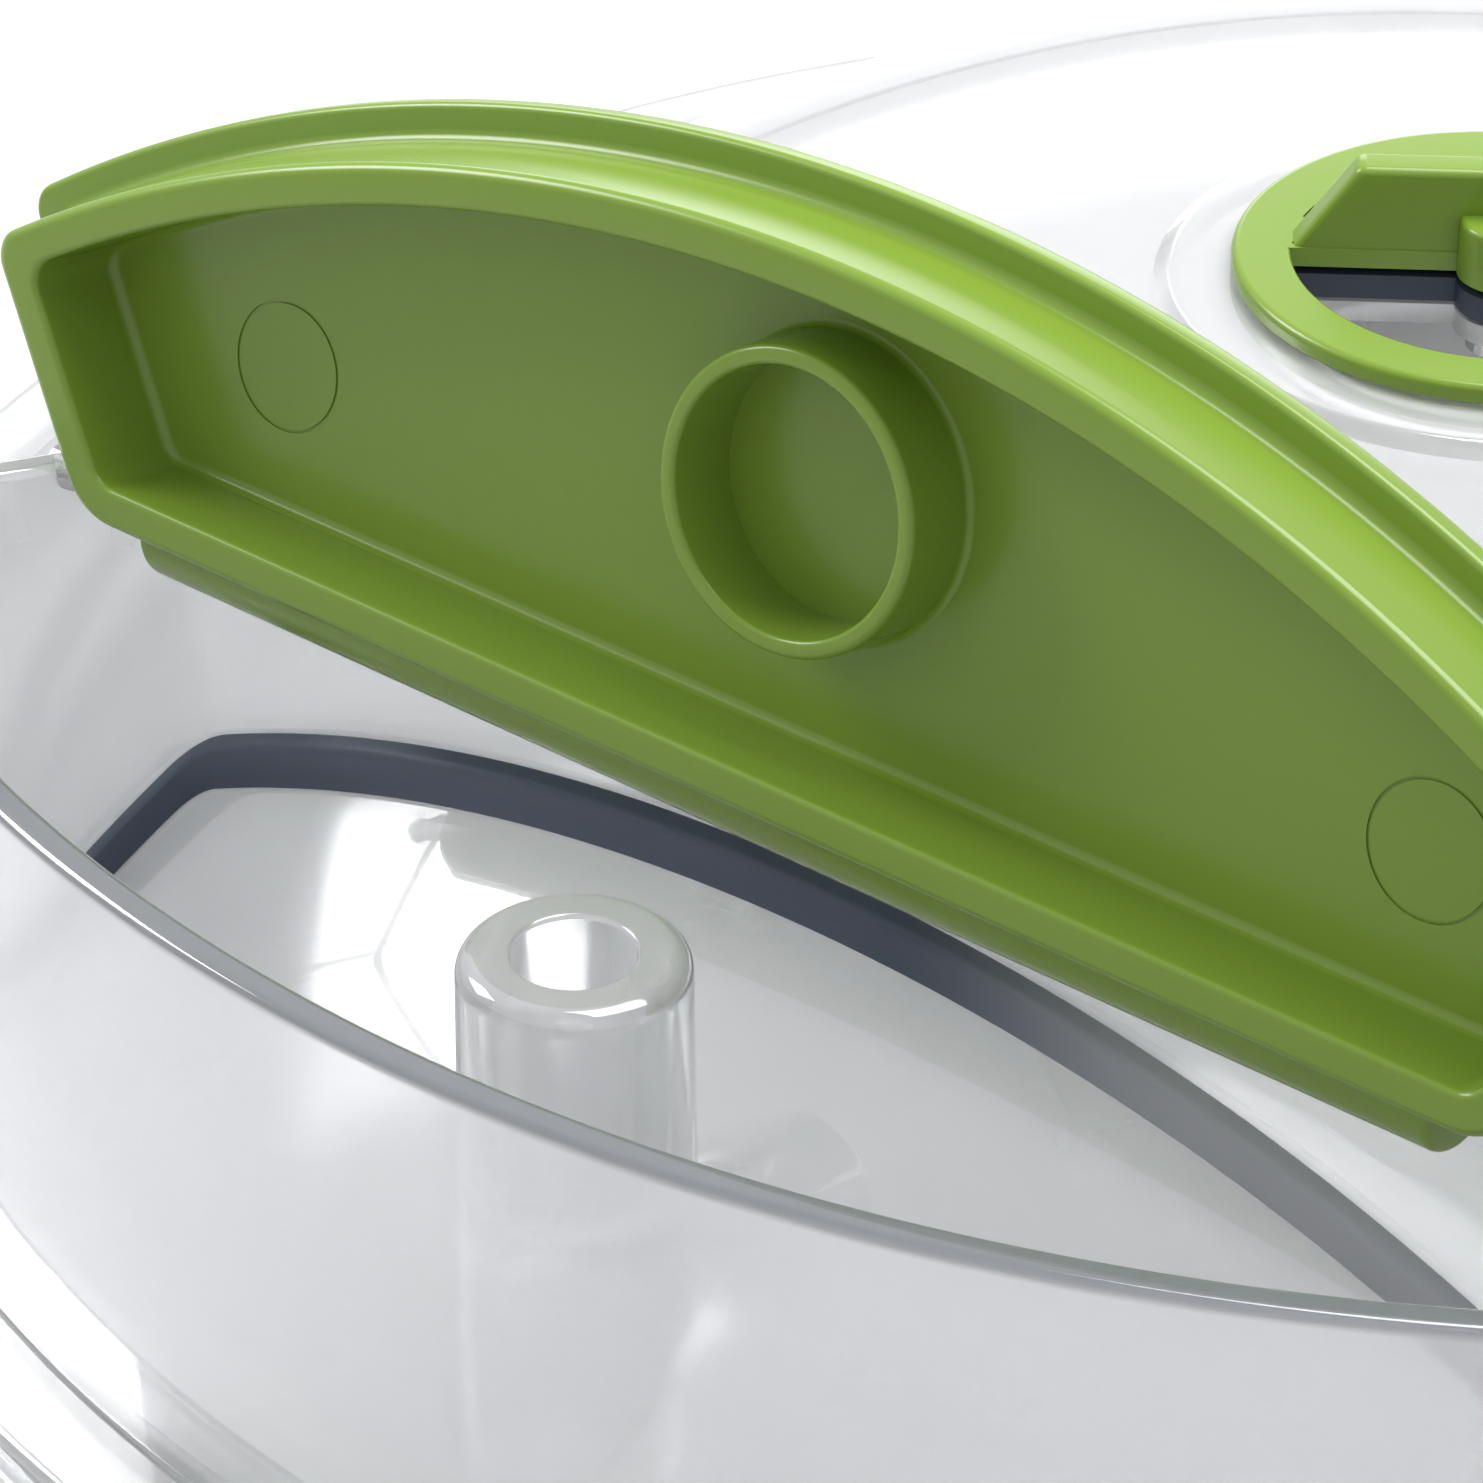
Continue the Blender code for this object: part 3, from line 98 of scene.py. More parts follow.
def moulded_surface():
    """Group for moulded skins: cloudy colour, fine grain and a few long hairline scratches."""
    tree, start, end = shader_group(
        "moulded_surface",
        (("Colour", (0.5, 0.5, 0.5, 1)), ("Cloud", (0.5, 0.5, 0.5, 1)), ("Cloud Scale", 30.0),
         ("Grain Scale", 900.0), ("Roughness", 0.3), ("Roughness Spread", 0.1), ("Scratch", 0.3)),
        ("Colour", "Roughness", "Height"))
    place = tree.nodes.new("ShaderNodeTexCoord")
    cloud = tree.nodes.new("ShaderNodeTexNoise")
    grain = tree.nodes.new("ShaderNodeTexNoise")
    smear = tree.nodes.new("ShaderNodeTexNoise")
    stretch = tree.nodes.new("ShaderNodeMapping")
    thin = tree.nodes.new("ShaderNodeMapRange")
    mix = tree.nodes.new("ShaderNodeMix")
    rough = tree.nodes.new("ShaderNodeMath")
    spread = tree.nodes.new("ShaderNodeMath")
    height = tree.nodes.new("ShaderNodeMath")
    mix.data_type = "RGBA"
    cloud.inputs["Detail"].default_value = 3.0
    grain.inputs["Detail"].default_value = 2.0
    smear.inputs["Detail"].default_value = 1.0
    smear.inputs["Scale"].default_value = 60.0
    stretch.inputs["Rotation"].default_value = (0.4, 0.2, 0.6)
    stretch.inputs["Scale"].default_value = (1.0, 28.0, 28.0)
    thin.inputs["From Min"].default_value = 0.66
    thin.inputs["From Max"].default_value = 0.74
    rough.operation = "MULTIPLY_ADD"
    spread.operation = "SUBTRACT"
    spread.inputs[1].default_value = 0.5
    height.operation = "MULTIPLY_ADD"
    link = tree.links.new
    link(place.outputs["Object"], cloud.inputs["Vector"])
    link(place.outputs["Object"], grain.inputs["Vector"])
    link(place.outputs["Object"], stretch.inputs["Vector"])
    link(stretch.outputs["Vector"], smear.inputs["Vector"])
    link(start.outputs["Cloud Scale"], cloud.inputs["Scale"])
    link(start.outputs["Grain Scale"], grain.inputs["Scale"])
    link(cloud.outputs["Fac"], mix.inputs["Factor"])
    link(start.outputs["Colour"], mix.inputs["A"])
    link(start.outputs["Cloud"], mix.inputs["B"])
    link(mix.outputs["Result"], end.inputs["Colour"])
    link(cloud.outputs["Fac"], spread.inputs[0])
    link(spread.outputs["Value"], rough.inputs[0])
    link(start.outputs["Roughness Spread"], rough.inputs[1])
    link(start.outputs["Roughness"], rough.inputs[2])
    link(rough.outputs["Value"], end.inputs["Roughness"])
    link(smear.outputs["Fac"], thin.inputs["Value"])
    link(thin.outputs["Result"], height.inputs[0])
    link(start.outputs["Scratch"], height.inputs[1])
    link(grain.outputs["Fac"], height.inputs[2])
    link(height.outputs["Value"], end.inputs["Height"])
    return tree


MOULDED = moulded_surface()


def moulded_material(name, colour, cloud, roughness, **set_values):
    """Principled material fed by the moulded surface group; gives the material."""
    made = bpy.data.materials.new(name)
    made.use_nodes = True
    tree = made.node_tree
    shader = tree.nodes["Principled BSDF"]
    skin = tree.nodes.new("ShaderNodeGroup")
    skin.node_tree = MOULDED
    skin.inputs["Colour"].default_value = (*colour, 1)
    skin.inputs["Cloud"].default_value = (*cloud, 1)
    skin.inputs["Roughness"].default_value = roughness
    bump = tree.nodes.new("ShaderNodeBump")
    bump.inputs["Strength"].default_value = set_values.pop("bump", 0.15)
    bump.inputs["Distance"].default_value = set_values.pop("depth", 0.00002)
    for label in ("Cloud Scale", "Grain Scale", "Roughness Spread", "Scratch"):
        if label in set_values:
            skin.inputs[label].default_value = set_values.pop(label)
    for label, value in set_values.items():
        shader.inputs[label].default_value = value
    tree.links.new(skin.outputs["Colour"], shader.inputs["Base Color"])
    tree.links.new(skin.outputs["Roughness"], shader.inputs["Roughness"])
    tree.links.new(skin.outputs["Height"], bump.inputs["Height"])
    tree.links.new(bump.outputs["Normal"], shader.inputs["Normal"])
    return made


CLEAR = moulded_material("clear_plastic", (0.985, 0.988, 0.993), (0.965, 0.972, 0.982), 0.10,
                         bump=0.05, **{"Roughness Spread": 0.05, "IOR": 1.46,
                                       "Transmission Weight": 0.72, "Coat Weight": 1.0,
                                       "Coat IOR": 1.7, "Coat Roughness": 0.03})


def paint_rim_shade(made, low, high, inner, outer, colour):
    """Paint shade onto the thick edge between two heights, outside a radius: a grey painted shade where
    clear plastic looks dark.
    """
    tree = made.node_tree
    place = tree.nodes.new("ShaderNodeTexCoord")
    split = tree.nodes.new("ShaderNodeSeparateXYZ")
    flat = tree.nodes.new("ShaderNodeVectorMath")
    span = tree.nodes.new("ShaderNodeVectorMath")
    rise = tree.nodes.new("ShaderNodeMapRange")
    reach = tree.nodes.new("ShaderNodeMapRange")
    both = tree.nodes.new("ShaderNodeMath")
    mix = tree.nodes.new("ShaderNodeMix")
    mix.data_type = "RGBA"
    both.operation = "MULTIPLY"
    flat.operation = "MULTIPLY"
    flat.inputs[1].default_value = (1, 1, 0)
    span.operation = "LENGTH"
    rise.inputs["From Min"].default_value = low
    rise.inputs["From Max"].default_value = high
    reach.inputs["From Min"].default_value = inner
    reach.inputs["From Max"].default_value = outer
    mix.inputs["B"].default_value = (*colour, 1)
    skin = next(n for n in tree.nodes if n.type == "GROUP")
    link = tree.links.new
    link(place.outputs["Object"], split.inputs["Vector"])
    link(place.outputs["Object"], flat.inputs[0])
    link(flat.outputs["Vector"], span.inputs[0])
    link(split.outputs["Z"], rise.inputs["Value"])
    link(span.outputs["Value"], reach.inputs["Value"])
    link(rise.outputs["Result"], both.inputs[0])
    link(reach.outputs["Result"], both.inputs[1])
    link(both.outputs["Value"], mix.inputs["Factor"])
    link(skin.outputs["Colour"], mix.inputs["A"])
    link(mix.outputs["Result"], tree.nodes["Principled BSDF"].inputs["Base Color"])


def rounded(outline, radii, steps=5):
    """Closed outline of (x, y) points with its corners rounded. radii is one radius, or one a point."""
    made = []
    count = len(outline)
    for i, corner in enumerate(outline):
        radius = radii if isinstance(radii, float) else radii[i]
        here = Vector(corner)
        a = Vector(outline[i - 1]) - here
        b = Vector(outline[(i + 1) % count]) - here
        if radius <= 0 or a.length < 1e-7 or b.length < 1e-7:
            made.append(tuple(here))
            continue
        half = a.angle(b) / 2
        if half > math.radians(89):
            made.append(tuple(here))
            continue
        reach = min(radius / math.tan(half), a.length * 0.49, b.length * 0.49)
        radius = reach * math.tan(half)
        middle = here + (a.normalized() + b.normalized()).normalized() * radius / math.sin(half)
        start = here + a.normalized() * reach - middle
        end = here + b.normalized() * reach - middle
        turn = start.angle_signed(end)
        for k in range(steps + 1):
            made.append(tuple(middle + Matrix.Rotation(-turn * k / steps, 2) @ start))
    return made


def turned(profile, sides=192, centre=(0, 0)):
    """Solid turned about an upright axis from a closed (radius, height) outline."""
    mesh = bmesh.new()
    rings = []
    for radius, height in profile:
        if radius < 1e-7:
            rings.append([mesh.verts.new((centre[0], centre[1], height))])
            continue
        ring = []
        for i in range(sides):
            a = 2 * math.pi * i / sides
            ring.append(mesh.verts.new((centre[0] + radius * math.cos(a),
                                        centre[1] + radius * math.sin(a), height)))
        rings.append(ring)
    for low, high in zip(rings, rings[1:] + rings[:1]):
        for i in range(sides):
            j = (i + 1) % sides
            loop = [low[i % len(low)], low[j % len(low)], high[j % len(high)], high[i % len(high)]]
            corners = [v for k, v in enumerate(loop) if v not in loop[:k]]
            if len(corners) > 2:
                mesh.faces.new(corners)
    bmesh.ops.recalc_face_normals(mesh, faces=mesh.faces)
    return mesh


def named(mesh, name, material):
    """Turn a bmesh into a smooth-shaded object whose sharp edges stay sharp."""
    data = bpy.data.meshes.new(name)
    mesh.to_mesh(data)
    mesh.free()
    data.materials.append(material)
    data.shade_smooth()
    data.set_sharp_from_angle(angle=math.radians(32))
    made = bpy.data.objects.new(name, data)
    bpy.context.scene.collection.objects.link(made)
    return made


def fit(made, body, slot, *nodes):
    """The finished piece rides on its body and stands for its CAD nodes, which are hidden; slot is not
    used.
    """
    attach(made, body)
    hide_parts(*nodes)
    return made


def bowl_radius(height):
    low = FOOT_HEIGHT + BOWL_HEEL
    share = (height - low) / (BOWL_HEIGHT - BOWL_MOUTH - low)
    base = BOWL_BASE_R + BOWL_HEEL
    return base + (BOWL_TOP_R - base) * min(max(share, 0), 1) ** 0.6


def bowl_profile():
    floor_z = FOOT_HEIGHT + BOWL_WALL
    outside = [(0, FOOT_HEIGHT), (BOWL_BASE_R - 7 * MM, FOOT_HEIGHT), (BOWL_BASE_R, FOOT_HEIGHT)]
    inside = [(BOWL_BASE_R, floor_z)]
    for i in range(1, 9):
        a = math.pi / 16 * i
        outside.append((BOWL_BASE_R + BOWL_HEEL * math.sin(a),
                        FOOT_HEIGHT + BOWL_HEEL * (1 - math.cos(a))))
        reach = BOWL_HEEL - BOWL_WALL
        inside.append((BOWL_BASE_R + reach * math.sin(a), floor_z + reach * (1 - math.cos(a))))
    for i in range(1, 17):
        height = FOOT_HEIGHT + BOWL_HEEL
        height += (BOWL_HEIGHT - BOWL_MOUTH - FOOT_HEIGHT - BOWL_HEEL) * (i / 16) ** 1.6
        outside.append((bowl_radius(height), height))
        inside.append((bowl_radius(height) - BOWL_WALL, height))
    lip = rounded([(BOWL_TOP_R, BOWL_HEIGHT - BOWL_LIP_T), (BOWL_LIP_R, BOWL_HEIGHT - BOWL_LIP_T),
                   (BOWL_LIP_R, BOWL_HEIGHT), (BOWL_TOP_R - BOWL_WALL, BOWL_HEIGHT)],
                  [0.6 * MM, 1.2 * MM, 1.0 * MM, 0.5 * MM])
    boss_top = floor_z + 9 * MM
    bore_low = boss_top - 4.8 * MM
    boss = [(10 * MM, floor_z), (8.6 * MM, floor_z + 0.6 * MM), (8 * MM, boss_top - 0.5 * MM),
            (7.5 * MM, boss_top), (PIVOT_BORE_R, boss_top), (PIVOT_BORE_R, bore_low), (0, bore_low)]
    return outside + lip + inside[::-1] + boss


bowl = named(turned(bowl_profile()), "bowl_clear", CLEAR)
fit(bowl, "base", "clear_plastic", "bowl")


# ---------------------------------------------------------------- foot ring and pivot
# A grey non-slip ring is pressed under the bowl, and a turned steel pin stands in its boss.
# The ring is turned anew with softened edges; the pin keeps its shape and takes a steel skin.
RUBBER = moulded_material("grey_rubber", (0.36, 0.37, 0.39), (0.30, 0.31, 0.33), 0.75, bump=0.5,
                          depth=0.00006, **{"Grain Scale": 1600.0})
STEEL = moulded_material("turned_steel", (0.62, 0.62, 0.63), (0.52, 0.52, 0.54), 0.28, bump=0.2,
                         **{"Metallic": 1.0, "Scratch": 1.0})
foot_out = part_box("foot_ring")[1].x
foot_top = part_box("foot_ring")[1].z
FOOT_WIDTH = 7 * MM
foot_outline = rounded([(foot_out - FOOT_WIDTH, 0), (foot_out, 0), (foot_out, foot_top),
                        (foot_out - FOOT_WIDTH, foot_top)], 0.8 * MM)
foot = named(turned(foot_outline), "foot_ring_soft", RUBBER)
fit(foot, "base", "grey_rubber", "foot_ring")


def dress(material, *nodes):
    """Give carried-over solids their material."""
    for node in nodes:
        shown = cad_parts[node]
        shown.data.materials.clear()
        shown.data.materials.append(material)
        for face in shown.data.polygons:
            face.material_index = 0


dress(STEEL, "pivot_pin")

# ---------------------------------------------------------------- basket
# White strainer basket moulded in one piece: two bands of long slots, slotted floor, rolled rim.
# A bush in its floor runs on the pivot.
WHITE = moulded_material("white_plastic", (0.90, 0.90, 0.905), (0.86, 0.86, 0.87), 0.38, bump=0.25)
BASKET_WALL = 1.8 * MM
BASKET_CLEAR = 7.5 * MM
BUSH_OUT_R = 5.35 * MM
basket_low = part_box("basket")[0].z
basket_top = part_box("basket")[1].z
SLOT_BARS = 72


def basket_radius(level):
    return bowl_radius(level) - BOWL_WALL - BASKET_CLEAR


def basket_rows():
    """(radius, height, open) rows of the basket's middle surface from its hub to its rim."""
    z = basket_low + BASKET_WALL / 2
    height = basket_top - basket_low
    rim_r = basket_radius(basket_top)
    rows = [(BUSH_OUT_R + GAP + BASKET_WALL, z, False), (22 * MM, z, True), (36 * MM, z, True),
            (50 * MM, z, False), (54 * MM, z, True), (66 * MM, z, True), (78 * MM, z, False),
            (82 * MM, z + 0.4 * MM, False), (85.5 * MM, z + 1.6 * MM, False),
            (87 * MM, z + 4 * MM, False)]
    for share in (0.09, 0.12):
        rows.append((basket_radius(z + height * share), z + height * share, share > 0.1))
    for i in range(1, 6):
        share = 0.12 + 0.36 * i / 5
        rows.append((basket_radius(z + height * share), z + height * share, i < 5))
    rows.append((basket_radius(z + height * 0.53), z + height * 0.53, True))
    for i in range(1, 6):
        share = 0.53 + 0.37 * i / 5
        rows.append((basket_radius(z + height * share), z + height * share, i < 5))
    top = basket_top - BASKET_WALL / 2
    rows += [(rim_r - 0.3 * MM, top - 3 * MM, False), (rim_r + 0.2 * MM, top - 0.6 * MM, False),
             (rim_r + 1.0 * MM, top, False), (rim_r + 2.4 * MM, top - 0.1 * MM, False)]
    return rows


def strainer(name, rows, bars):
    """Sheet turned from rows. Open rows keep only a bar, half as wide as the pitch, in each pitch."""
    mesh = bmesh.new()
    parts = 4
    columns = bars * parts
    kept = parts // 2
    grid = []
    for radius, height, _ in rows:
        ring = []
        for i in range(columns):
            a = 2 * math.pi * i / columns
            ring.append(mesh.verts.new((radius * math.cos(a), radius * math.sin(a), height)))
        grid.append(ring)
    for row in range(len(rows) - 1):
        for i in range(columns):
            if rows[row][2] and i % parts >= kept:
                continue
            j = (i + 1) % columns
            mesh.faces.new((grid[row][i], grid[row][j], grid[row + 1][j], grid[row + 1][i]))
    bmesh.ops.recalc_face_normals(mesh, faces=mesh.faces)
    loose = [v for v in mesh.verts if not v.link_faces]
    bmesh.ops.delete(mesh, geom=loose, context="VERTS")
    return named(mesh, name, WHITE)


def thicken(made, wall, edge):
    """Give a sheet its wall and soften the edges of the wall."""
    solid = made.modifiers.new("wall", "SOLIDIFY")
    solid.thickness = wall
    solid.offset = 0
    soft = made.modifiers.new("edge", "BEVEL")
    soft.width = edge
    soft.segments = 2
    soft.limit_method = "ANGLE"
    soft.angle_limit = math.radians(50)


basket = strainer("basket_slotted", basket_rows(), SLOT_BARS)
thicken(basket, BASKET_WALL, 0.35 * MM)
fit(basket, "basket", "white_plastic", "basket")
dress(WHITE, "basket_bush", "basket_cover")

# ---------------------------------------------------------------- tray, drive sleeve and gears
# The white tray under the dome closes the gear case. Sleeve, idler and crank gear run above it.
# The sleeve's funnel stands under the vent, so water poured in runs to the basket.
tray_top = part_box("gear_tray")[1].z - 2 * MM
dress(WHITE, "gear_tray", "drive_sleeve", "sleeve_bush", "idler_gear", "crank_gear", "crank_bush")
dress(STEEL, "idler_pin", "crank_shaft", "arm_screw", "knob_pin", "dial_pivot", "hatch_pin_left",
      "hatch_pin_right", "brake_spring", "tray_screw_1", "tray_screw_2", "tray_screw_3")
dress(RUBBER, "lid_seal", "brake_pad")

# ---------------------------------------------------------------- lid
# Clear domed lid in one moulding: crown with the dial's raised step, skirt, flange, the D-shaped
# collar round the hatch's well, and the hollow post on the well's floor.
RIM_R = 125 * MM
RIM_WALL = 2.5 * MM
FLANGE_TOP = RIM_Z - SKIRT_HEIGHT
FLANGE_R = 131.5 * MM
FLANGE_LOW = FLANGE_TOP - FLANGE_T
SHELL_T = 2.2 * MM
CROWN_DROP = 0.5 * MM
CHORD_DROP = 15.3 * MM
DROP_R = 80.8 * MM
FLOOR_RISE = 1.5 * MM
LEVEL_R = DROP_R * ((SKIRT_HEIGHT - FLOOR_RISE - CROWN_DROP) / CHORD_DROP) ** (1 / 3)
SPIGOT_R = 124.6 * MM
SPIGOT_IN_R = 122.4 * MM
SPIGOT_LOW = FLANGE_LOW - 6 * MM
HATCH_HALF = 56 * MM
HATCH_CHORD_Y = -86.4 * MM
HATCH_END_ANGLE = math.radians(31.4)
HATCH_WALL = 3.1 * MM
WELL_CLEAR = 1.9 * MM
WELL_CHORD_Y = -78.8 * MM
WELL_WALL = 2.2 * MM
WELL_CORNER_R = 4.5 * MM
STEP_R = 25.6 * MM
SEAT_R = 16.3 * MM
SHELF_TOP = RIM_Z - 2.5 * MM
SHELF_T = 1.6 * MM
HUB_R = 3.6 * MM
DIAL_ANGLE = math.radians(35.9)
POST_Y = -104 * MM
POST_R = 7.5 * MM
POST_FOOT_R = 7.9 * MM
POST_BORE_R = 4 * MM
POST_BORE_DEPTH = 17 * MM
PIVOT_SHAFT_R = 1.65 * MM
HINGE_BORE_R = 1.45 * MM
DRIVE_ANGLE = math.radians(39.5)
CRANK_DIST = 70.5 * MM
CRANK_AT = Vector((math.cos(DRIVE_ANGLE), math.sin(DRIVE_ANGLE))) * CRANK_DIST
IDLER_AT = Vector((math.cos(DRIVE_ANGLE), math.sin(DRIVE_ANGLE))) * 24 * MM
TOWER_R = 8.95 * MM
TOWER_BORE_R = 6.45 * MM
BRAKE_TURN = DRIVE_ANGLE + math.radians(70)
BRAKE_DIST = 95 * MM
BRAKE_AT = Vector((math.cos(BRAKE_TURN), math.sin(BRAKE_TURN))) * BRAKE_DIST
GUIDE_R = 8 * MM
GUIDE_BORE_R = 4.3 * MM
BOSS_R = 4 * MM
TOWER_TOP = RIM_Z + 2 * MM
SCREW_TURNS = (90, 150, 270)
SCREW_RING_R = 84 * MM
gear_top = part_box("crank_gear")[1].z


def dome(r):
    """Height of the lid's outer surface at radius r."""
    return RIM_Z - CROWN_DROP - CHORD_DROP * (min(r, LEVEL_R) / DROP_R) ** 3


def dome_points(offset, inner, outer, steps):
    points = []
    curved = min(outer, LEVEL_R)
    for i in range(steps + 1):
        r = inner + (curved - inner) * i / steps
        points.append((r, dome(r) - offset))
    if outer > curved:
        points.append((outer, dome(outer) - offset))
    return points


def arc_between(before, corner, after, radius, steps):
    a = (Vector(before) - Vector(corner)).normalized()
    b = (Vector(after) - Vector(corner)).normalized()
    half = a.angle(b) / 2
    reach = radius / math.tan(half)
    middle = Vector(corner) + (a + b).normalized() * radius / math.sin(half)
    start = Vector(corner) + a * reach - middle
    end = Vector(corner) + b * reach - middle
    turn = start.angle_signed(end)
    return [tuple(middle + Matrix.Rotation(-turn * i / steps, 2) @ start) for i in range(steps + 1)]


def d_outline(chord_y, arc_r, offset, corner_r, arc_steps=120, corner_steps=8, chord_steps=24):
    """D outline in (x, y) with rounded corners; its ends lie offset outside the hatch's inside."""
    direction = Vector((math.sin(HATCH_END_ANGLE), -math.cos(HATCH_END_ANGLE)))
    normal = Vector((math.cos(HATCH_END_ANGLE), math.sin(HATCH_END_ANGLE)))
    on_end = Vector((HATCH_HALF, HATCH_CHORD_Y)) + normal * offset
    chord = on_end + direction * ((chord_y - on_end.y) / direction.y)
    b = on_end.dot(direction)
    c = on_end.length_squared - arc_r ** 2
    rim = on_end + direction * (-b + math.sqrt(b * b - c))
    spread = math.atan2(rim.x, -rim.y)
    rim_corner = min(corner_r, 2 * MM)
    near = spread - rim_corner / arc_r
    tangent = (arc_r * math.sin(near), -arc_r * math.cos(near))
    right = arc_between((-chord.x, chord.y), tuple(chord), tuple(rim), corner_r, corner_steps)
    low = arc_between(tuple(chord), tuple(rim), tangent, rim_corner, corner_steps)
    points = right + low
    first = math.atan2(low[-1][0], -low[-1][1])
    for i in range(1, arc_steps):
        a = first - 2 * first * i / arc_steps
        points.append((arc_r * math.sin(a), -arc_r * math.cos(a)))
    points += [(-x, y) for x, y in reversed(low)]
    points += [(-x, y) for x, y in reversed(right)]
    return points


def lofted(rings, cap_low=False, cap_high=False):
    """Mesh through rings of (x, y, z) points, each ring of as many points, closed at its ends."""
    mesh = bmesh.new()
    made = [[mesh.verts.new(point) for point in ring] for ring in rings]
    pairs = list(zip(made, made[1:]))
    if not cap_low:
        pairs.append((made[-1], made[0]))
    for low, high in pairs:
        for i in range(len(low)):
            j = (i + 1) % len(low)
            mesh.faces.new((low[i], low[j], high[j], high[i]))
    if cap_low:
        mesh.faces.new(made[0])
    if cap_high:
        mesh.faces.new(made[-1])
    bmesh.ops.recalc_face_normals(mesh, faces=mesh.faces)
    return mesh


def combine(target, mesh, operation):
    """Join a scratch shape to a piece or cut it from it, and keep the result as a plain mesh."""
    cutter = named(mesh, "cutter", target.data.materials[0])
    modifier = target.modifiers.new("combine", "BOOLEAN")
    modifier.operation = operation
    modifier.solver = "MANIFOLD"
    modifier.object = cutter
    bpy.context.view_layer.update()
    graph = bpy.context.evaluated_depsgraph_get()
    result = bpy.data.meshes.new_from_object(target.evaluated_get(graph))
    target.modifiers.clear()
    target.data = result
    bpy.data.objects.remove(cutter, do_unlink=True)


def settle(made, angle=32):
    """Shade a cut piece smooth, with flat faces kept flat beside their rounded edges."""
    made.data.shade_smooth()
    made.data.set_sharp_from_angle(angle=math.radians(angle))
    weights = made.modifiers.new("flat_faces", "WEIGHTED_NORMAL")
    weights.keep_sharp = True
    weights.weight = 100


def rod(radius, low, high, place, sides=64, edge=0.0):
    outline = [(0, low), (radius, low), (radius, high), (0, high)]
    return turned(rounded(outline, [0.0, 0.0, edge, 0.0]), sides, place)


def collar_mesh():
    """D-shaped wall with a rounded top edge, from below the dome up to the rim."""
    low = FLANGE_LOW + 1.1 * MM
    profile = rounded([(0, low), (RIM_WALL, low), (RIM_WALL, RIM_Z), (0, RIM_Z)],
                      [0.0, 0.0, 0.7 * MM, 0.7 * MM])
    rings = []
    for inset, height in profile:
        share = inset / RIM_WALL
        well_inset = WELL_WALL * share
        ring = d_outline(WELL_CHORD_Y + WELL_WALL - well_inset, RIM_R - inset,
                         HATCH_WALL + WELL_CLEAR + WELL_WALL - well_inset,
                         WELL_CORNER_R + WELL_WALL - well_inset)
        rings.append([(x, y, height) for x, y in ring])
    return lofted(rings)


def half_disc(radius, hub_r, angle, steps=64, hub_steps=24):
    """Half-disc on the far side of a line through the centre, with a round hub bulging over it."""
    points = []
    for i in range(steps + 1):
        a = math.pi * i / steps
        points.append((radius * math.cos(a), radius * math.sin(a)))
    for i in range(hub_steps + 1):
        a = math.pi + math.pi * i / hub_steps
        points.append((hub_r * math.cos(a), hub_r * math.sin(a)))
    return [tuple(Matrix.Rotation(angle, 2) @ Vector(p)) for p in points]


def slab(outline, low, high):
    return lofted([[(x, y, low) for x, y in outline], [(x, y, high) for x, y in outline]], True, True)


def lid_mesh():
    """Shell of revolution: seat for the dial, dome, flange and locating spigot."""
    step = rounded([(SEAT_R, SHELF_TOP - SHELF_T), (SEAT_R, RIM_Z), (STEP_R - 1.2 * MM, RIM_Z),
                    (STEP_R, dome(STEP_R))], [0.3 * MM, 0.4 * MM, 0.9 * MM, 0.0])
    shell = step + dome_points(0, STEP_R + 0.8 * MM, RIM_R - 1 * MM, 44)
    shell += rounded([(RIM_R, FLANGE_TOP), (FLANGE_R, FLANGE_TOP), (FLANGE_R, FLANGE_LOW),
                      (SPIGOT_R, FLANGE_LOW), (SPIGOT_R, SPIGOT_LOW), (SPIGOT_IN_R, SPIGOT_LOW)],
                     [0.0, 0.8 * MM, 0.5 * MM, 0.0, 0.5 * MM, 0.5 * MM])
    shell += dome_points(SHELL_T, SEAT_R + 3 * MM, SPIGOT_IN_R, 40)[::-1]
    return turned(shell, 256)


CLEAR_LID = CLEAR.copy()
CLEAR_LID.name = "clear_lid"
# The grey on the lid's rim edge is painted shade, not the plastic's own colour.
paint_rim_shade(CLEAR_LID, RIM_Z - 0.9 * MM, RIM_Z - 0.3 * MM, 118 * MM, 121 * MM, (0.33, 0.345, 0.37))
lid = named(lid_mesh(), "lid_clear", CLEAR_LID)
collar = named(collar_mesh(), "collar", CLEAR_LID)
below = [(0, RIM_Z - SHELL_T)] + dome_points(SHELL_T / 2, 15 * MM, 130 * MM, 44)
below += [(130 * MM, FLANGE_LOW - 20 * MM), (0, FLANGE_LOW - 20 * MM)]
combine(collar, turned(below, 256), "DIFFERENCE")
collar_solid = bmesh.new()
collar_solid.from_mesh(collar.data)
bpy.data.objects.remove(collar, do_unlink=True)
combine(lid, collar_solid, "UNION")
post_top = RIM_Z - 4.4 * MM
post_low = dome(-POST_Y + POST_R) - SHELL_T / 2
post = rounded([(0, post_low), (POST_FOOT_R, post_low), (POST_R, post_top), (POST_BORE_R, post_top),
                (3.6 * MM, post_top - POST_BORE_DEPTH), (0, post_top - POST_BORE_DEPTH)],
               [0.0, 0.0, 1.5 * MM, 0.35 * MM, 0.8 * MM, 0.0], 8)
combine(lid, turned(post, 96, (0, POST_Y)), "UNION")
shelf = half_disc(SEAT_R + 1 * MM, HUB_R, DIAL_ANGLE)
combine(lid, slab(shelf, SHELF_TOP - SHELF_T, SHELF_TOP), "UNION")
combine(lid, rod(PIVOT_SHAFT_R, SHELF_TOP - 5 * MM, SHELF_TOP + 5 * MM, (0, 0), 32), "DIFFERENCE")
tower_low = dome(CRANK_DIST + TOWER_R) - SHELL_T / 2
combine(lid, rod(TOWER_R, tower_low, TOWER_TOP, CRANK_AT, 96, 0.8 * MM), "UNION")
combine(lid, rod(TOWER_BORE_R, tower_low - 40 * MM, TOWER_TOP + 10 * MM, CRANK_AT, 96), "DIFFERENCE")
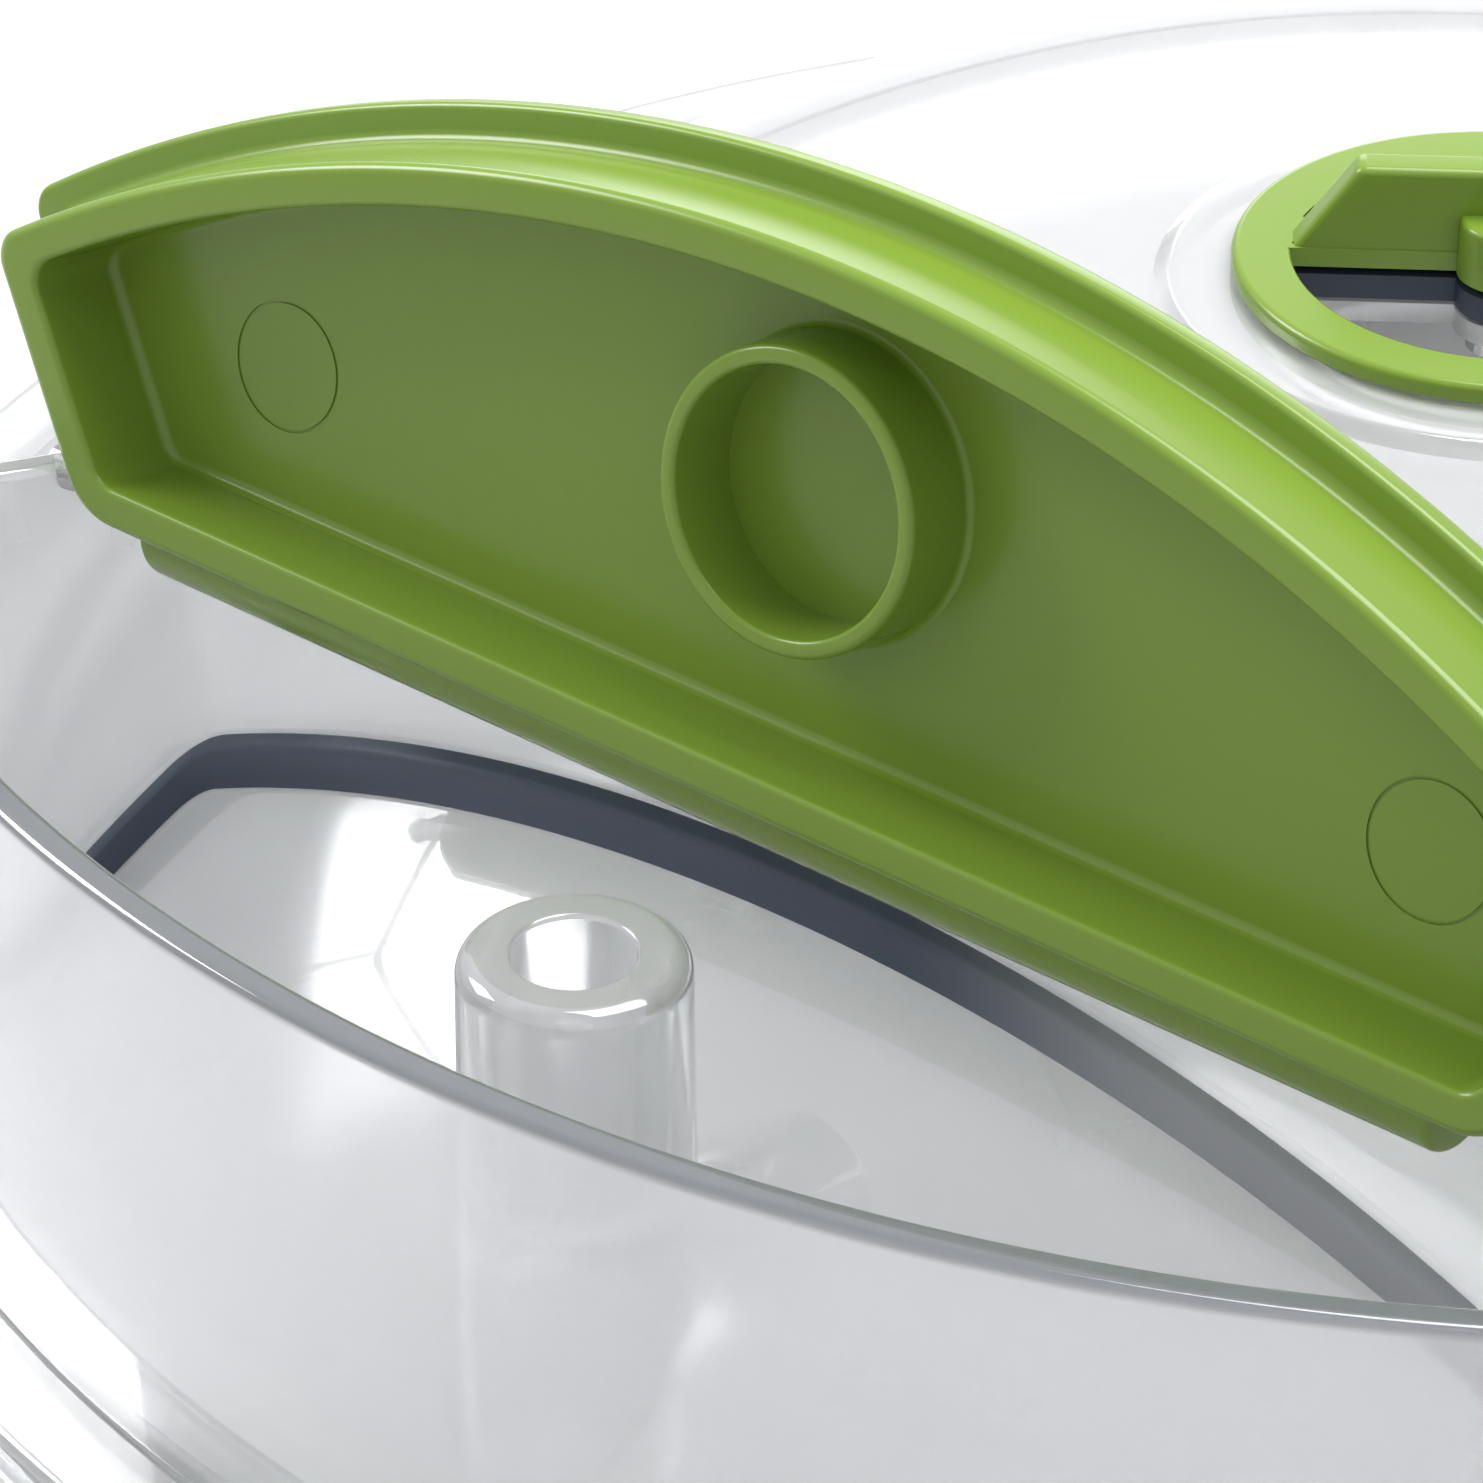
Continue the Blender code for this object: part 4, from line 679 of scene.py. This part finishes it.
guide_top = dome(BRAKE_DIST - GUIDE_R) + 0.5 * MM
guide_low = dome(BRAKE_DIST + GUIDE_R) - SHELL_T / 2
combine(lid, rod(GUIDE_R, guide_low, guide_top, BRAKE_AT, 64, 0.5 * MM), "UNION")
combine(lid, rod(GUIDE_BORE_R, FLANGE_LOW, RIM_Z, BRAKE_AT), "DIFFERENCE")
bosses = [(IDLER_AT, gear_top + 0.6 * MM, 2.55 * MM)]
for screw_turn in SCREW_TURNS:
    a = DRIVE_ANGLE + math.radians(screw_turn)
    bosses.append((Vector((math.cos(a), math.sin(a))) * SCREW_RING_R, tray_top + GAP, 1.75 * MM))
for place, end, bore in bosses:
    top = dome(place.length + BOSS_R) - SHELL_T / 2
    combine(lid, rod(BOSS_R, end, top, place, 40), "UNION")
    combine(lid, rod(bore, end - 8 * MM, end + 8 * MM, place, 40), "DIFFERENCE")
pin_bore = rod(HINGE_BORE_R, -80 * MM, 80 * MM, (0, 0), 32)
pin_bore.transform(Matrix.Translation((0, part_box("hatch_pin_left")[0].y + 1.3 * MM, RIM_Z - 1.8 * MM))
                   @ Matrix.Rotation(math.pi / 2, 4, "Y"))
combine(lid, pin_bore, "DIFFERENCE")
settle(lid)
fit(lid, "lid", "clear_plastic", "lid_shell")

# ---------------------------------------------------------------- well gasket
# Navy strip pushed into the foot of the well along its straight wall and both ends.
# It follows the dome at one even section, and its colour pales to grey towards its right end: painted
# light.
GASKET_T = 1.3 * MM
GASKET_H = 3.3 * MM
GASKET_END_R = 119.5 * MM


def seal_with_painted_light(name, left, right, start, end):
    """Seal material whose colour changes from left to right along X; the paler right colour is painted
    light.
    """
    made = moulded_material(name, left, left, 0.4, bump=0.3)
    tree = made.node_tree
    place = tree.nodes.new("ShaderNodeTexCoord")
    split = tree.nodes.new("ShaderNodeSeparateXYZ")
    share = tree.nodes.new("ShaderNodeMapRange")
    mix = tree.nodes.new("ShaderNodeMix")
    mix.data_type = "RGBA"
    share.interpolation_type = "SMOOTHSTEP"
    share.inputs["From Min"].default_value = start
    share.inputs["From Max"].default_value = end
    mix.inputs["B"].default_value = (*right, 1)
    skin = next(n for n in tree.nodes if n.type == "GROUP")
    tree.links.new(place.outputs["Object"], split.inputs["Vector"])
    tree.links.new(split.outputs["X"], share.inputs["Value"])
    tree.links.new(share.outputs["Result"], mix.inputs["Factor"])
    tree.links.new(skin.outputs["Colour"], mix.inputs["A"])
    tree.links.new(mix.outputs["Result"], tree.nodes["Principled BSDF"].inputs["Base Color"])
    return made


# The grey towards the strip's right end is painted light, not the seal's own colour.
NAVY_WITH_PAINTED_LIGHT = seal_with_painted_light("navy_seal", (0.085, 0.105, 0.150), (0.42, 0.43, 0.45), 6 * MM, 32 * MM)


def well_path(inset):
    """Points along the foot of the well's ends and straight wall, inset from the wall."""
    offset = HATCH_WALL + WELL_CLEAR - GAP - inset
    chord_y = WELL_CHORD_Y - GAP - inset
    direction = Vector((math.sin(HATCH_END_ANGLE), -math.cos(HATCH_END_ANGLE)))
    normal = Vector((math.cos(HATCH_END_ANGLE), math.sin(HATCH_END_ANGLE)))
    on_end = Vector((HATCH_HALF, HATCH_CHORD_Y)) + normal * offset
    chord = on_end + direction * ((chord_y - on_end.y) / direction.y)
    b = on_end.dot(direction)
    far = on_end + direction * (-b + math.sqrt(b * b - on_end.length_squared + GASKET_END_R ** 2))
    corner = arc_between(tuple(far), tuple(chord), (-chord.x, chord.y), WELL_CORNER_R - inset, 10)
    side = [tuple(far.lerp(Vector(corner[0]), i / 16)) for i in range(16)] + corner
    middle = [(corner[-1][0] * (1 - i / 24), corner[-1][1]) for i in range(1, 24)]
    half = side + middle
    return half + [(0, chord_y)] + [(-x, y) for x, y in reversed(half)]


def gasket_mesh():
    section = rounded([(0, 0), (GASKET_T, 0), (GASKET_T, GASKET_H), (0, GASKET_H)],
                      [0.1 * MM, 0.1 * MM, 0.45 * MM, 0.2 * MM], 3)
    strips = []
    for inset, rise in section:
        strips.append([(x, y, dome(math.hypot(x, y)) + GAP + rise) for x, y in well_path(inset)])
    mesh = bmesh.new()
    made = [[mesh.verts.new(point) for point in strip] for strip in strips]
    for a, b in zip(made, made[1:] + made[:1]):
        for i in range(len(a) - 1):
            mesh.faces.new((a[i], a[i + 1], b[i + 1], b[i]))
    mesh.faces.new([strip[0] for strip in made])
    mesh.faces.new([strip[-1] for strip in made])
    bmesh.ops.recalc_face_normals(mesh, faces=mesh.faces)
    return mesh


gasket = named(gasket_mesh(), "gasket_strip", NAVY_WITH_PAINTED_LIGHT)
fit(gasket, "lid", "navy_seal", "well_gasket")

# ---------------------------------------------------------------- hatch
# Green D-shaped cover of the well, moulded hollow: a thin plate with an overhang, a deep wall with a
# rounded lip, a short tube that closes over the post, and a barrel for the two hinge pins.
GREEN = moulded_material("green_plastic", (0.190, 0.300, 0.034), (0.170, 0.272, 0.028), 0.25,
                         bump=0.12, **{"Cloud Scale": 18.0, "Roughness Spread": 0.12,
                                       "Scratch": 0.5, "Grain Scale": 1400.0, "IOR": 1.5})
HATCH_ARC_R = 118.2 * MM
HATCH_OVERHANG = 2.6 * MM
HATCH_PLATE_T = 2.2 * MM
HATCH_DEPTH = 7.15 * MM
HINGE_Y = -83.9 * MM
HINGE_Z = RIM_Z - 1.8 * MM
HATCH_OPEN = math.radians(101.3)
HATCH_CORNER_R = 2 * MM
TUBE_R = 10.1 * MM
TUBE_WALL = 1.25 * MM
TUBE_DEPTH = 5.4 * MM
BARREL_R = 4.3 * MM
BARREL_HALF = HATCH_HALF - 3 * MM
WITNESS_R = 4.4 * MM
WITNESS_X = 46.5 * MM
WITNESS_Y = -96.5 * MM
PIN_BORE_START = 48.7 * MM


def hatch_ring(kind, inset, height):
    """One ring of the hatch: the plate's, the wall's outer or the wall's inner outline, inset."""
    shapes = {"plate": (HINGE_Y, HATCH_ARC_R + HATCH_WALL + HATCH_OVERHANG,
                        HATCH_WALL + HATCH_OVERHANG, HATCH_CORNER_R),
              "wall": (HATCH_CHORD_Y + HATCH_WALL, HATCH_ARC_R + HATCH_WALL, HATCH_WALL,
                       HATCH_CORNER_R + HATCH_WALL),
              "inside": (HATCH_CHORD_Y, HATCH_ARC_R, 0, HATCH_CORNER_R)}
    chord_y, arc_r, offset, corner_r = shapes[kind]
    ring = d_outline(chord_y - inset, arc_r - inset, offset - inset, max(corner_r - inset, 0.4 * MM))
    return [(x, y, RIM_Z + height) for x, y in ring]


def fillet(kind, radius, height, inset, start, end, steps=4):
    """Rings round a quarter-turn edge about (inset, height), from one angle to another in degrees."""
    made = []
    for i in range(steps + 1):
        a = math.radians(start + (end - start) * i / steps)
        made.append(hatch_ring(kind, inset + radius * math.cos(a), height + radius * math.sin(a)))
    return made


def hatch_body():
    plate_low = GAP
    plate_top = GAP + HATCH_PLATE_T
    lip = -HATCH_DEPTH
    draft = 0.12 * MM
    rings = [hatch_ring("plate", 3 * MM, plate_top)]
    rings += fillet("plate", 0.9 * MM, plate_top - 0.9 * MM, 0.9 * MM, 90, 180)
    rings += fillet("plate", 0.5 * MM, plate_low + 0.5 * MM, 0.5 * MM, 180, 270, 3)
    rings += fillet("wall", 0.9 * MM, plate_low - 0.9 * MM, -0.9 * MM, 90, 0)
    rings += fillet("wall", 0.75 * MM, lip + 0.75 * MM, 0.75 * MM + draft, 180, 270)
    rings += fillet("inside", 0.45 * MM, lip + 0.45 * MM, -0.45 * MM - draft, 270, 360)
    rings += fillet("inside", 0.8 * MM, plate_low - 0.8 * MM, 0.8 * MM, 180, 90)
    rings.append(hatch_ring("inside", 3 * MM, plate_low))
    return lofted(rings, True, True)


hatch = named(hatch_body(), "hatch_green", GREEN)
for side in (-1, 1):
    far = (HATCH_HALF + 40 * MM) * side
    back = HINGE_Y + HATCH_DEPTH
    for start, depth, low in ((BARREL_HALF, 1.9 * MM, -0.6 * MM),
                              (BARREL_HALF, 3.2 * MM, GAP + 0.7 * MM),
                              (HATCH_HALF + HATCH_WALL / 2, 3.2 * MM, -0.6 * MM)):
        near = start * side
        front = HINGE_Y - depth
        notch = [(near, front), (far, front), (far, back), (near, back)]
        combine(hatch, slab(notch, RIM_Z + low, RIM_Z + HATCH_DEPTH), "DIFFERENCE")
barrel_outline = rounded([(0, -BARREL_HALF), (BARREL_R, -BARREL_HALF), (BARREL_R, BARREL_HALF),
                          (0, BARREL_HALF)], [0.0, 0.6 * MM, 0.6 * MM, 0.0])
barrel = turned(barrel_outline, 64)
barrel.transform(Matrix.Translation((0, HINGE_Y, HINGE_Z)) @ Matrix.Rotation(math.pi / 2, 4, "Y"))
barrel_cut = HATCH_CHORD_Y + HATCH_WALL * 0.4
keep_out = [(-HATCH_HALF, barrel_cut - 10 * MM), (HATCH_HALF, barrel_cut - 10 * MM),
            (HATCH_HALF, barrel_cut), (-HATCH_HALF, barrel_cut)]
barrel = named(barrel, "barrel", GREEN)
combine(barrel, slab(keep_out, RIM_Z - 20 * MM, RIM_Z + 20 * MM), "DIFFERENCE")
barrel_solid = bmesh.new()
barrel_solid.from_mesh(barrel.data)
bpy.data.objects.remove(barrel, do_unlink=True)
combine(hatch, barrel_solid, "UNION")
tube_low = RIM_Z - TUBE_DEPTH
floor_z = RIM_Z + GAP
tube = rounded([(TUBE_R - TUBE_WALL, tube_low), (TUBE_R, tube_low), (TUBE_R + 0.15 * MM, floor_z),
                (TUBE_R + 1.2 * MM, floor_z), (TUBE_R, floor_z + 0.8 * MM),
                (TUBE_R - TUBE_WALL, floor_z + 0.8 * MM)],
               [0.35 * MM, 0.45 * MM, 0.7 * MM, 0.0, 0.0, 0.0])
combine(hatch, turned(tube, 128, (0, POST_Y)), "UNION")
groove = [(WITNESS_R, floor_z - 0.5 * MM), (WITNESS_R + 0.22 * MM, floor_z - 0.5 * MM),
          (WITNESS_R + 0.22 * MM, floor_z + 0.14 * MM), (WITNESS_R, floor_z + 0.14 * MM)]
for spot_x in (-WITNESS_X, WITNESS_X):
    combine(hatch, turned(groove, 72, (spot_x, WITNESS_Y)), "DIFFERENCE")
for side in (-1, 1):
    bore = turned([(0, -60 * MM), (HINGE_BORE_R, -60 * MM), (HINGE_BORE_R, -PIN_BORE_START),
                   (0, -PIN_BORE_START)], 32)
    bore.transform(Matrix.Translation((0, HINGE_Y, HINGE_Z))
                   @ Matrix.Rotation(math.pi / 2 * side, 4, "Y"))
    combine(hatch, bore, "DIFFERENCE")
hinge = Matrix.Translation((0, HINGE_Y, HINGE_Z))
hatch.data.transform(hinge @ Matrix.Rotation(-HATCH_OPEN, 4, "X") @ hinge.inverted())
settle(hatch)
fit(hatch, "hatch", "green_plastic", "hatch")

# ---------------------------------------------------------------- dial, seal plate and marks
# Green vent dial with one open half, a tall grip bar across it and small triangle marks on its
# ring. A navy half plate under it shuts the vent when the dial is turned.
DIAL_R = 20 * MM
DIAL_VENT_R = 15.7 * MM
DIAL_T = 1.5 * MM
GRIP_T = 3 * MM
GRIP_H = 6.5 * MM
GRIP_TOP = 11 * MM
MARK_RING_R = 15.2 * MM
MARK_SIZE = 0.85 * MM
MARK_DEPTH = 0.35 * MM
dial_low = RIM_Z + GAP
dial_top = dial_low + DIAL_T


def marks_tree():
    """Geometry Nodes: three-sided prisms spread along an arc, joined into one cutter."""
    tree = bpy.data.node_groups.new("dial_marks", "GeometryNodeTree")
    for label, kind in (("Radius", "NodeSocketFloat"), ("Size", "NodeSocketFloat"),
                        ("Count", "NodeSocketInt"), ("Start", "NodeSocketFloat"),
                        ("Sweep", "NodeSocketFloat"), ("Material", "NodeSocketMaterial")):
        tree.interface.new_socket(label, in_out="INPUT", socket_type=kind)
    tree.interface.new_socket("Geometry", in_out="OUTPUT", socket_type="NodeSocketGeometry")
    start = tree.nodes.new("NodeGroupInput")
    end = tree.nodes.new("NodeGroupOutput")
    arc = tree.nodes.new("GeometryNodeCurveArc")
    points = tree.nodes.new("GeometryNodeCurveToPoints")
    prism = tree.nodes.new("GeometryNodeMeshCone")
    place = tree.nodes.new("GeometryNodeInstanceOnPoints")
    real = tree.nodes.new("GeometryNodeRealizeInstances")
    finish = tree.nodes.new("GeometryNodeSetMaterial")
    prism.inputs["Vertices"].default_value = 3
    prism.inputs["Depth"].default_value = 2 * MM
    link = tree.links.new
    link(start.outputs["Radius"], arc.inputs["Radius"])
    link(start.outputs["Start"], arc.inputs["Start Angle"])
    link(start.outputs["Sweep"], arc.inputs["Sweep Angle"])
    link(arc.outputs["Curve"], points.inputs["Curve"])
    link(start.outputs["Count"], points.inputs["Count"])
    link(start.outputs["Size"], prism.inputs["Radius Top"])
    link(start.outputs["Size"], prism.inputs["Radius Bottom"])
    link(points.outputs["Points"], place.inputs["Points"])
    link(prism.outputs["Mesh"], place.inputs["Instance"])
    link(points.outputs["Rotation"], place.inputs["Rotation"])
    link(place.outputs["Instances"], real.inputs["Geometry"])
    link(real.outputs["Geometry"], finish.inputs["Geometry"])
    link(start.outputs["Material"], finish.inputs["Material"])
    link(finish.outputs["Geometry"], end.inputs["Geometry"])
    return tree


def grown(tree, name, **values):
    """Plain mesh from a Geometry Nodes tree with its inputs set by socket."""
    data = bpy.data.meshes.new(name)
    made = bpy.data.objects.new(name, data)
    bpy.context.scene.collection.objects.link(made)
    modifier = made.modifiers.new(name, "NODES")
    modifier.node_group = tree
    for item in tree.interface.items_tree:
        if item.in_out == "INPUT" and item.name in values:
            modifier[item.identifier] = values[item.name]
    bpy.context.view_layer.update()
    graph = bpy.context.evaluated_depsgraph_get()
    result = bpy.data.meshes.new_from_object(made.evaluated_get(graph))
    bpy.data.objects.remove(made, do_unlink=True)
    return result


def dial_ring():
    outline = rounded([(DIAL_VENT_R, dial_low), (DIAL_R, dial_low), (DIAL_R, dial_top),
                       (DIAL_VENT_R, dial_top)], [0.2 * MM, 0.3 * MM, 0.6 * MM, 0.3 * MM])
    return turned(outline, 160)


def grip_mesh():
    """Trapezoid bar with softened edges, standing on the straight edge of the half disc."""
    grip = bmesh.new()
    corners = ((DIAL_VENT_R - 0.2 * MM, dial_low + 0.1 * MM), (DIAL_VENT_R - 0.2 * MM, dial_top),
               (GRIP_TOP, dial_top + GRIP_H), (-GRIP_TOP, dial_top + GRIP_H),
               (0.2 * MM - DIAL_VENT_R, dial_top), (0.2 * MM - DIAL_VENT_R, dial_low + 0.1 * MM))
    front = [grip.verts.new((x, 0.1 * MM, z)) for x, z in corners]
    back = [grip.verts.new((x, GRIP_T + 0.1 * MM, z)) for x, z in corners]
    for i in range(len(corners)):
        j = (i + 1) % len(corners)
        grip.faces.new((front[i], front[j], back[j], back[i]))
    grip.faces.new(front)
    grip.faces.new(back)
    bmesh.ops.recalc_face_normals(grip, faces=grip.faces)
    soft = [e for e in grip.edges if max(v.co.z for v in e.verts) > dial_top + 1 * MM]
    bmesh.ops.bevel(grip, geom=soft, offset=0.6 * MM, segments=5, profile=0.5, affect="EDGES")
    grip.transform(Matrix.Rotation(DIAL_ANGLE, 4, "Z"))
    return grip


dial = named(dial_ring(), "dial_green", GREEN)
combine(dial, slab(half_disc(DIAL_VENT_R + 1 * MM, HUB_R, DIAL_ANGLE), dial_low, dial_top), "UNION")
combine(dial, grip_mesh(), "UNION")
combine(dial, rod(HUB_R, dial_top - DIAL_T / 2, dial_top + 3 * MM, (0, 0), 64, 0.5 * MM), "UNION")
combine(dial, rod(PIVOT_SHAFT_R, dial_low - 3 * MM, dial_top + 2 * MM, (0, 0), 32), "DIFFERENCE")
marks = marks_tree()
for first, sweep in ((139, 15), (190, 16)):
    cutter = grown(marks, "mark_cutter", Radius=MARK_RING_R, Size=MARK_SIZE, Count=2,
                   Start=math.radians(first), Sweep=math.radians(sweep), Material=GREEN)
    cut = bmesh.new()
    cut.from_mesh(cutter)
    cut.transform(Matrix.Translation((0, 0, dial_top - MARK_DEPTH)))
    combine(dial, cut, "DIFFERENCE")
settle(dial)
fit(dial, "dial", "green_plastic", "dial")
SEAL = moulded_material("seal_plate", (0.03, 0.042, 0.075), (0.025, 0.035, 0.06), 0.45, bump=0.3)
seal = named(slab(half_disc(SEAT_R - GAP, HUB_R, DIAL_ANGLE), SHELF_TOP + GAP,
                  SHELF_TOP + GAP + 1.9 * MM), "seal_plate", SEAL)
combine(seal, rod(PIVOT_SHAFT_R, SHELF_TOP, RIM_Z + 3 * MM, (0, 0), 32), "DIFFERENCE")
settle(seal)
fit(seal, "lid", "navy_seal", "dial_seal")

# ---------------------------------------------------------------- crank arm, knob and brake button
# Green parts that the hand meets: the arm with its rounded ends, the waisted knob, and the brake's
# button. They are solid mouldings with softened edges.
arm_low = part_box("crank_arm")[0].z
arm_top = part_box("crank_arm")[1].z
knob_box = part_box("crank_knob")
knob_low = knob_box[0].z
knob_top = knob_box[1].z
ARM_LENGTH = 38 * MM
ARM_HALF = 9 * MM
KNOB_AT = CRANK_AT + Vector((math.cos(DRIVE_ANGLE), math.sin(DRIVE_ANGLE))) * ARM_LENGTH
KNOB_R = 8.5 * MM
KNOB_BORE_R = 2.65 * MM


def arm_ring(inset, height):
    """Outline of the arm, rounded at both ends, drawn in from its full width by inset."""
    points = []
    reach = ARM_HALF - inset
    steps = 32
    for centre, start in ((ARM_LENGTH, -math.pi / 2), (0, math.pi / 2)):
        for i in range(steps + 1):
            a = start + math.pi * i / steps
            spot = Vector((centre + reach * math.cos(a), reach * math.sin(a)))
            spot = Matrix.Rotation(DRIVE_ANGLE, 2) @ spot + CRANK_AT
            points.append((spot.x, spot.y, height))
    return points


arm_rings = []
for inset, height in rounded([(0, arm_low), (0, arm_top), (4 * MM, arm_top)], [0.0, 1.4 * MM, 0.0]):
    arm_rings.append(arm_ring(inset, height))
arm = named(lofted([arm_ring(0.8 * MM, arm_low)] + [arm_ring(0, arm_low + 0.8 * MM)]
                   + arm_rings[1:], True, True), "arm_green", GREEN)
combine(arm, rod(4.3 * MM, arm_low - 1 * MM, arm_top - 1.9 * MM, CRANK_AT), "DIFFERENCE")
combine(arm, rod(1.9 * MM, arm_low, arm_top + 1 * MM, CRANK_AT, 32), "DIFFERENCE")
combine(arm, rod(2.8 * MM, arm_low - 1 * MM, arm_top + 1 * MM, KNOB_AT, 32), "DIFFERENCE")
settle(arm)
fit(arm, "crank", "green_plastic", "crank_arm")
pin_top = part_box("knob_pin")[1].z + GAP
knob_outline = rounded([(KNOB_BORE_R, knob_low), (KNOB_R * 0.8, knob_low),
                        (KNOB_R * 0.84, knob_low + 6 * MM),
                        (KNOB_R, knob_low + 14 * MM), (KNOB_R, knob_low + 18 * MM),
                        (KNOB_R * 0.7, knob_top), (0, knob_top), (0, pin_top), (KNOB_BORE_R, pin_top)],
                       [0.3 * MM, 0.8 * MM, 6 * MM, 6 * MM, 3 * MM, 3 * MM, 0.0, 0.0, 0.0], 8)
knob = named(turned(knob_outline, 96, KNOB_AT), "knob_green", GREEN)
fit(knob, "knob", "green_plastic", "crank_knob")
button_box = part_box("brake_button")
cap_top = button_box[1].z - 0.5 * MM
button_outline = rounded([(0, button_box[0].z), (4 * MM, button_box[0].z), (4 * MM, cap_top - 3 * MM),
                          (8 * MM, cap_top - 3 * MM), (8 * MM, cap_top), (0, cap_top + 0.4 * MM)],
                         [0.0, 0.3 * MM, 0.4 * MM, 0.4 * MM, 1.2 * MM, 0.0])
button = named(turned(button_outline, 96, BRAKE_AT), "button_green", GREEN)
fit(button, "brake", "green_plastic", "brake_button")

# ---------------------------------------------------------------- studio
# One wide pale floor under a soft sky, lit by three soft lamps.
bpy.context.scene.view_settings.view_transform = "Standard"
floor_paint = bpy.data.materials.new("pale_floor")
floor_paint.use_nodes = True
floor_shader = floor_paint.node_tree.nodes["Principled BSDF"]
floor_shader.inputs["Base Color"].default_value = (0.66, 0.66, 0.675, 1)
floor_shader.inputs["Roughness"].default_value = 0.6
floor_mesh = bmesh.new()
bmesh.ops.create_grid(floor_mesh, x_segments=1, y_segments=1, size=4)
floor = named(floor_mesh, "floor", floor_paint)
world = bpy.data.worlds.new("soft_sky")
bpy.context.scene.world = world
world.use_nodes = True
sky = world.node_tree.nodes["Background"]
sky.inputs["Color"].default_value = (0.96, 0.975, 1.0, 1)
sky.inputs["Strength"].default_value = 0.72


def softbox(name, place, aim, size, power):
    """Rectangular lamp at a place, turned to face a point."""
    light = bpy.data.lights.new(name, "AREA")
    light.shape = "RECTANGLE"
    light.size = size[0]
    light.size_y = size[1]
    light.energy = power
    made = bpy.data.objects.new(name, light)
    bpy.context.scene.collection.objects.link(made)
    made.location = place
    made.rotation_euler = (Vector(place) - Vector(aim)).to_track_quat("Z", "Y").to_euler()


softbox("key", (-0.95, -0.3, 0.85), (0, -0.05, 0.15), (0.45, 0.45), 7)
softbox("top", (0.2, 0.4, 1.3), (0, 0, 0.1), (0.9, 0.9), 19)
softbox("back", (-1.6, 2.4, 0.85), (0, -0.05, 0.15), (2.0, 0.9), 15)
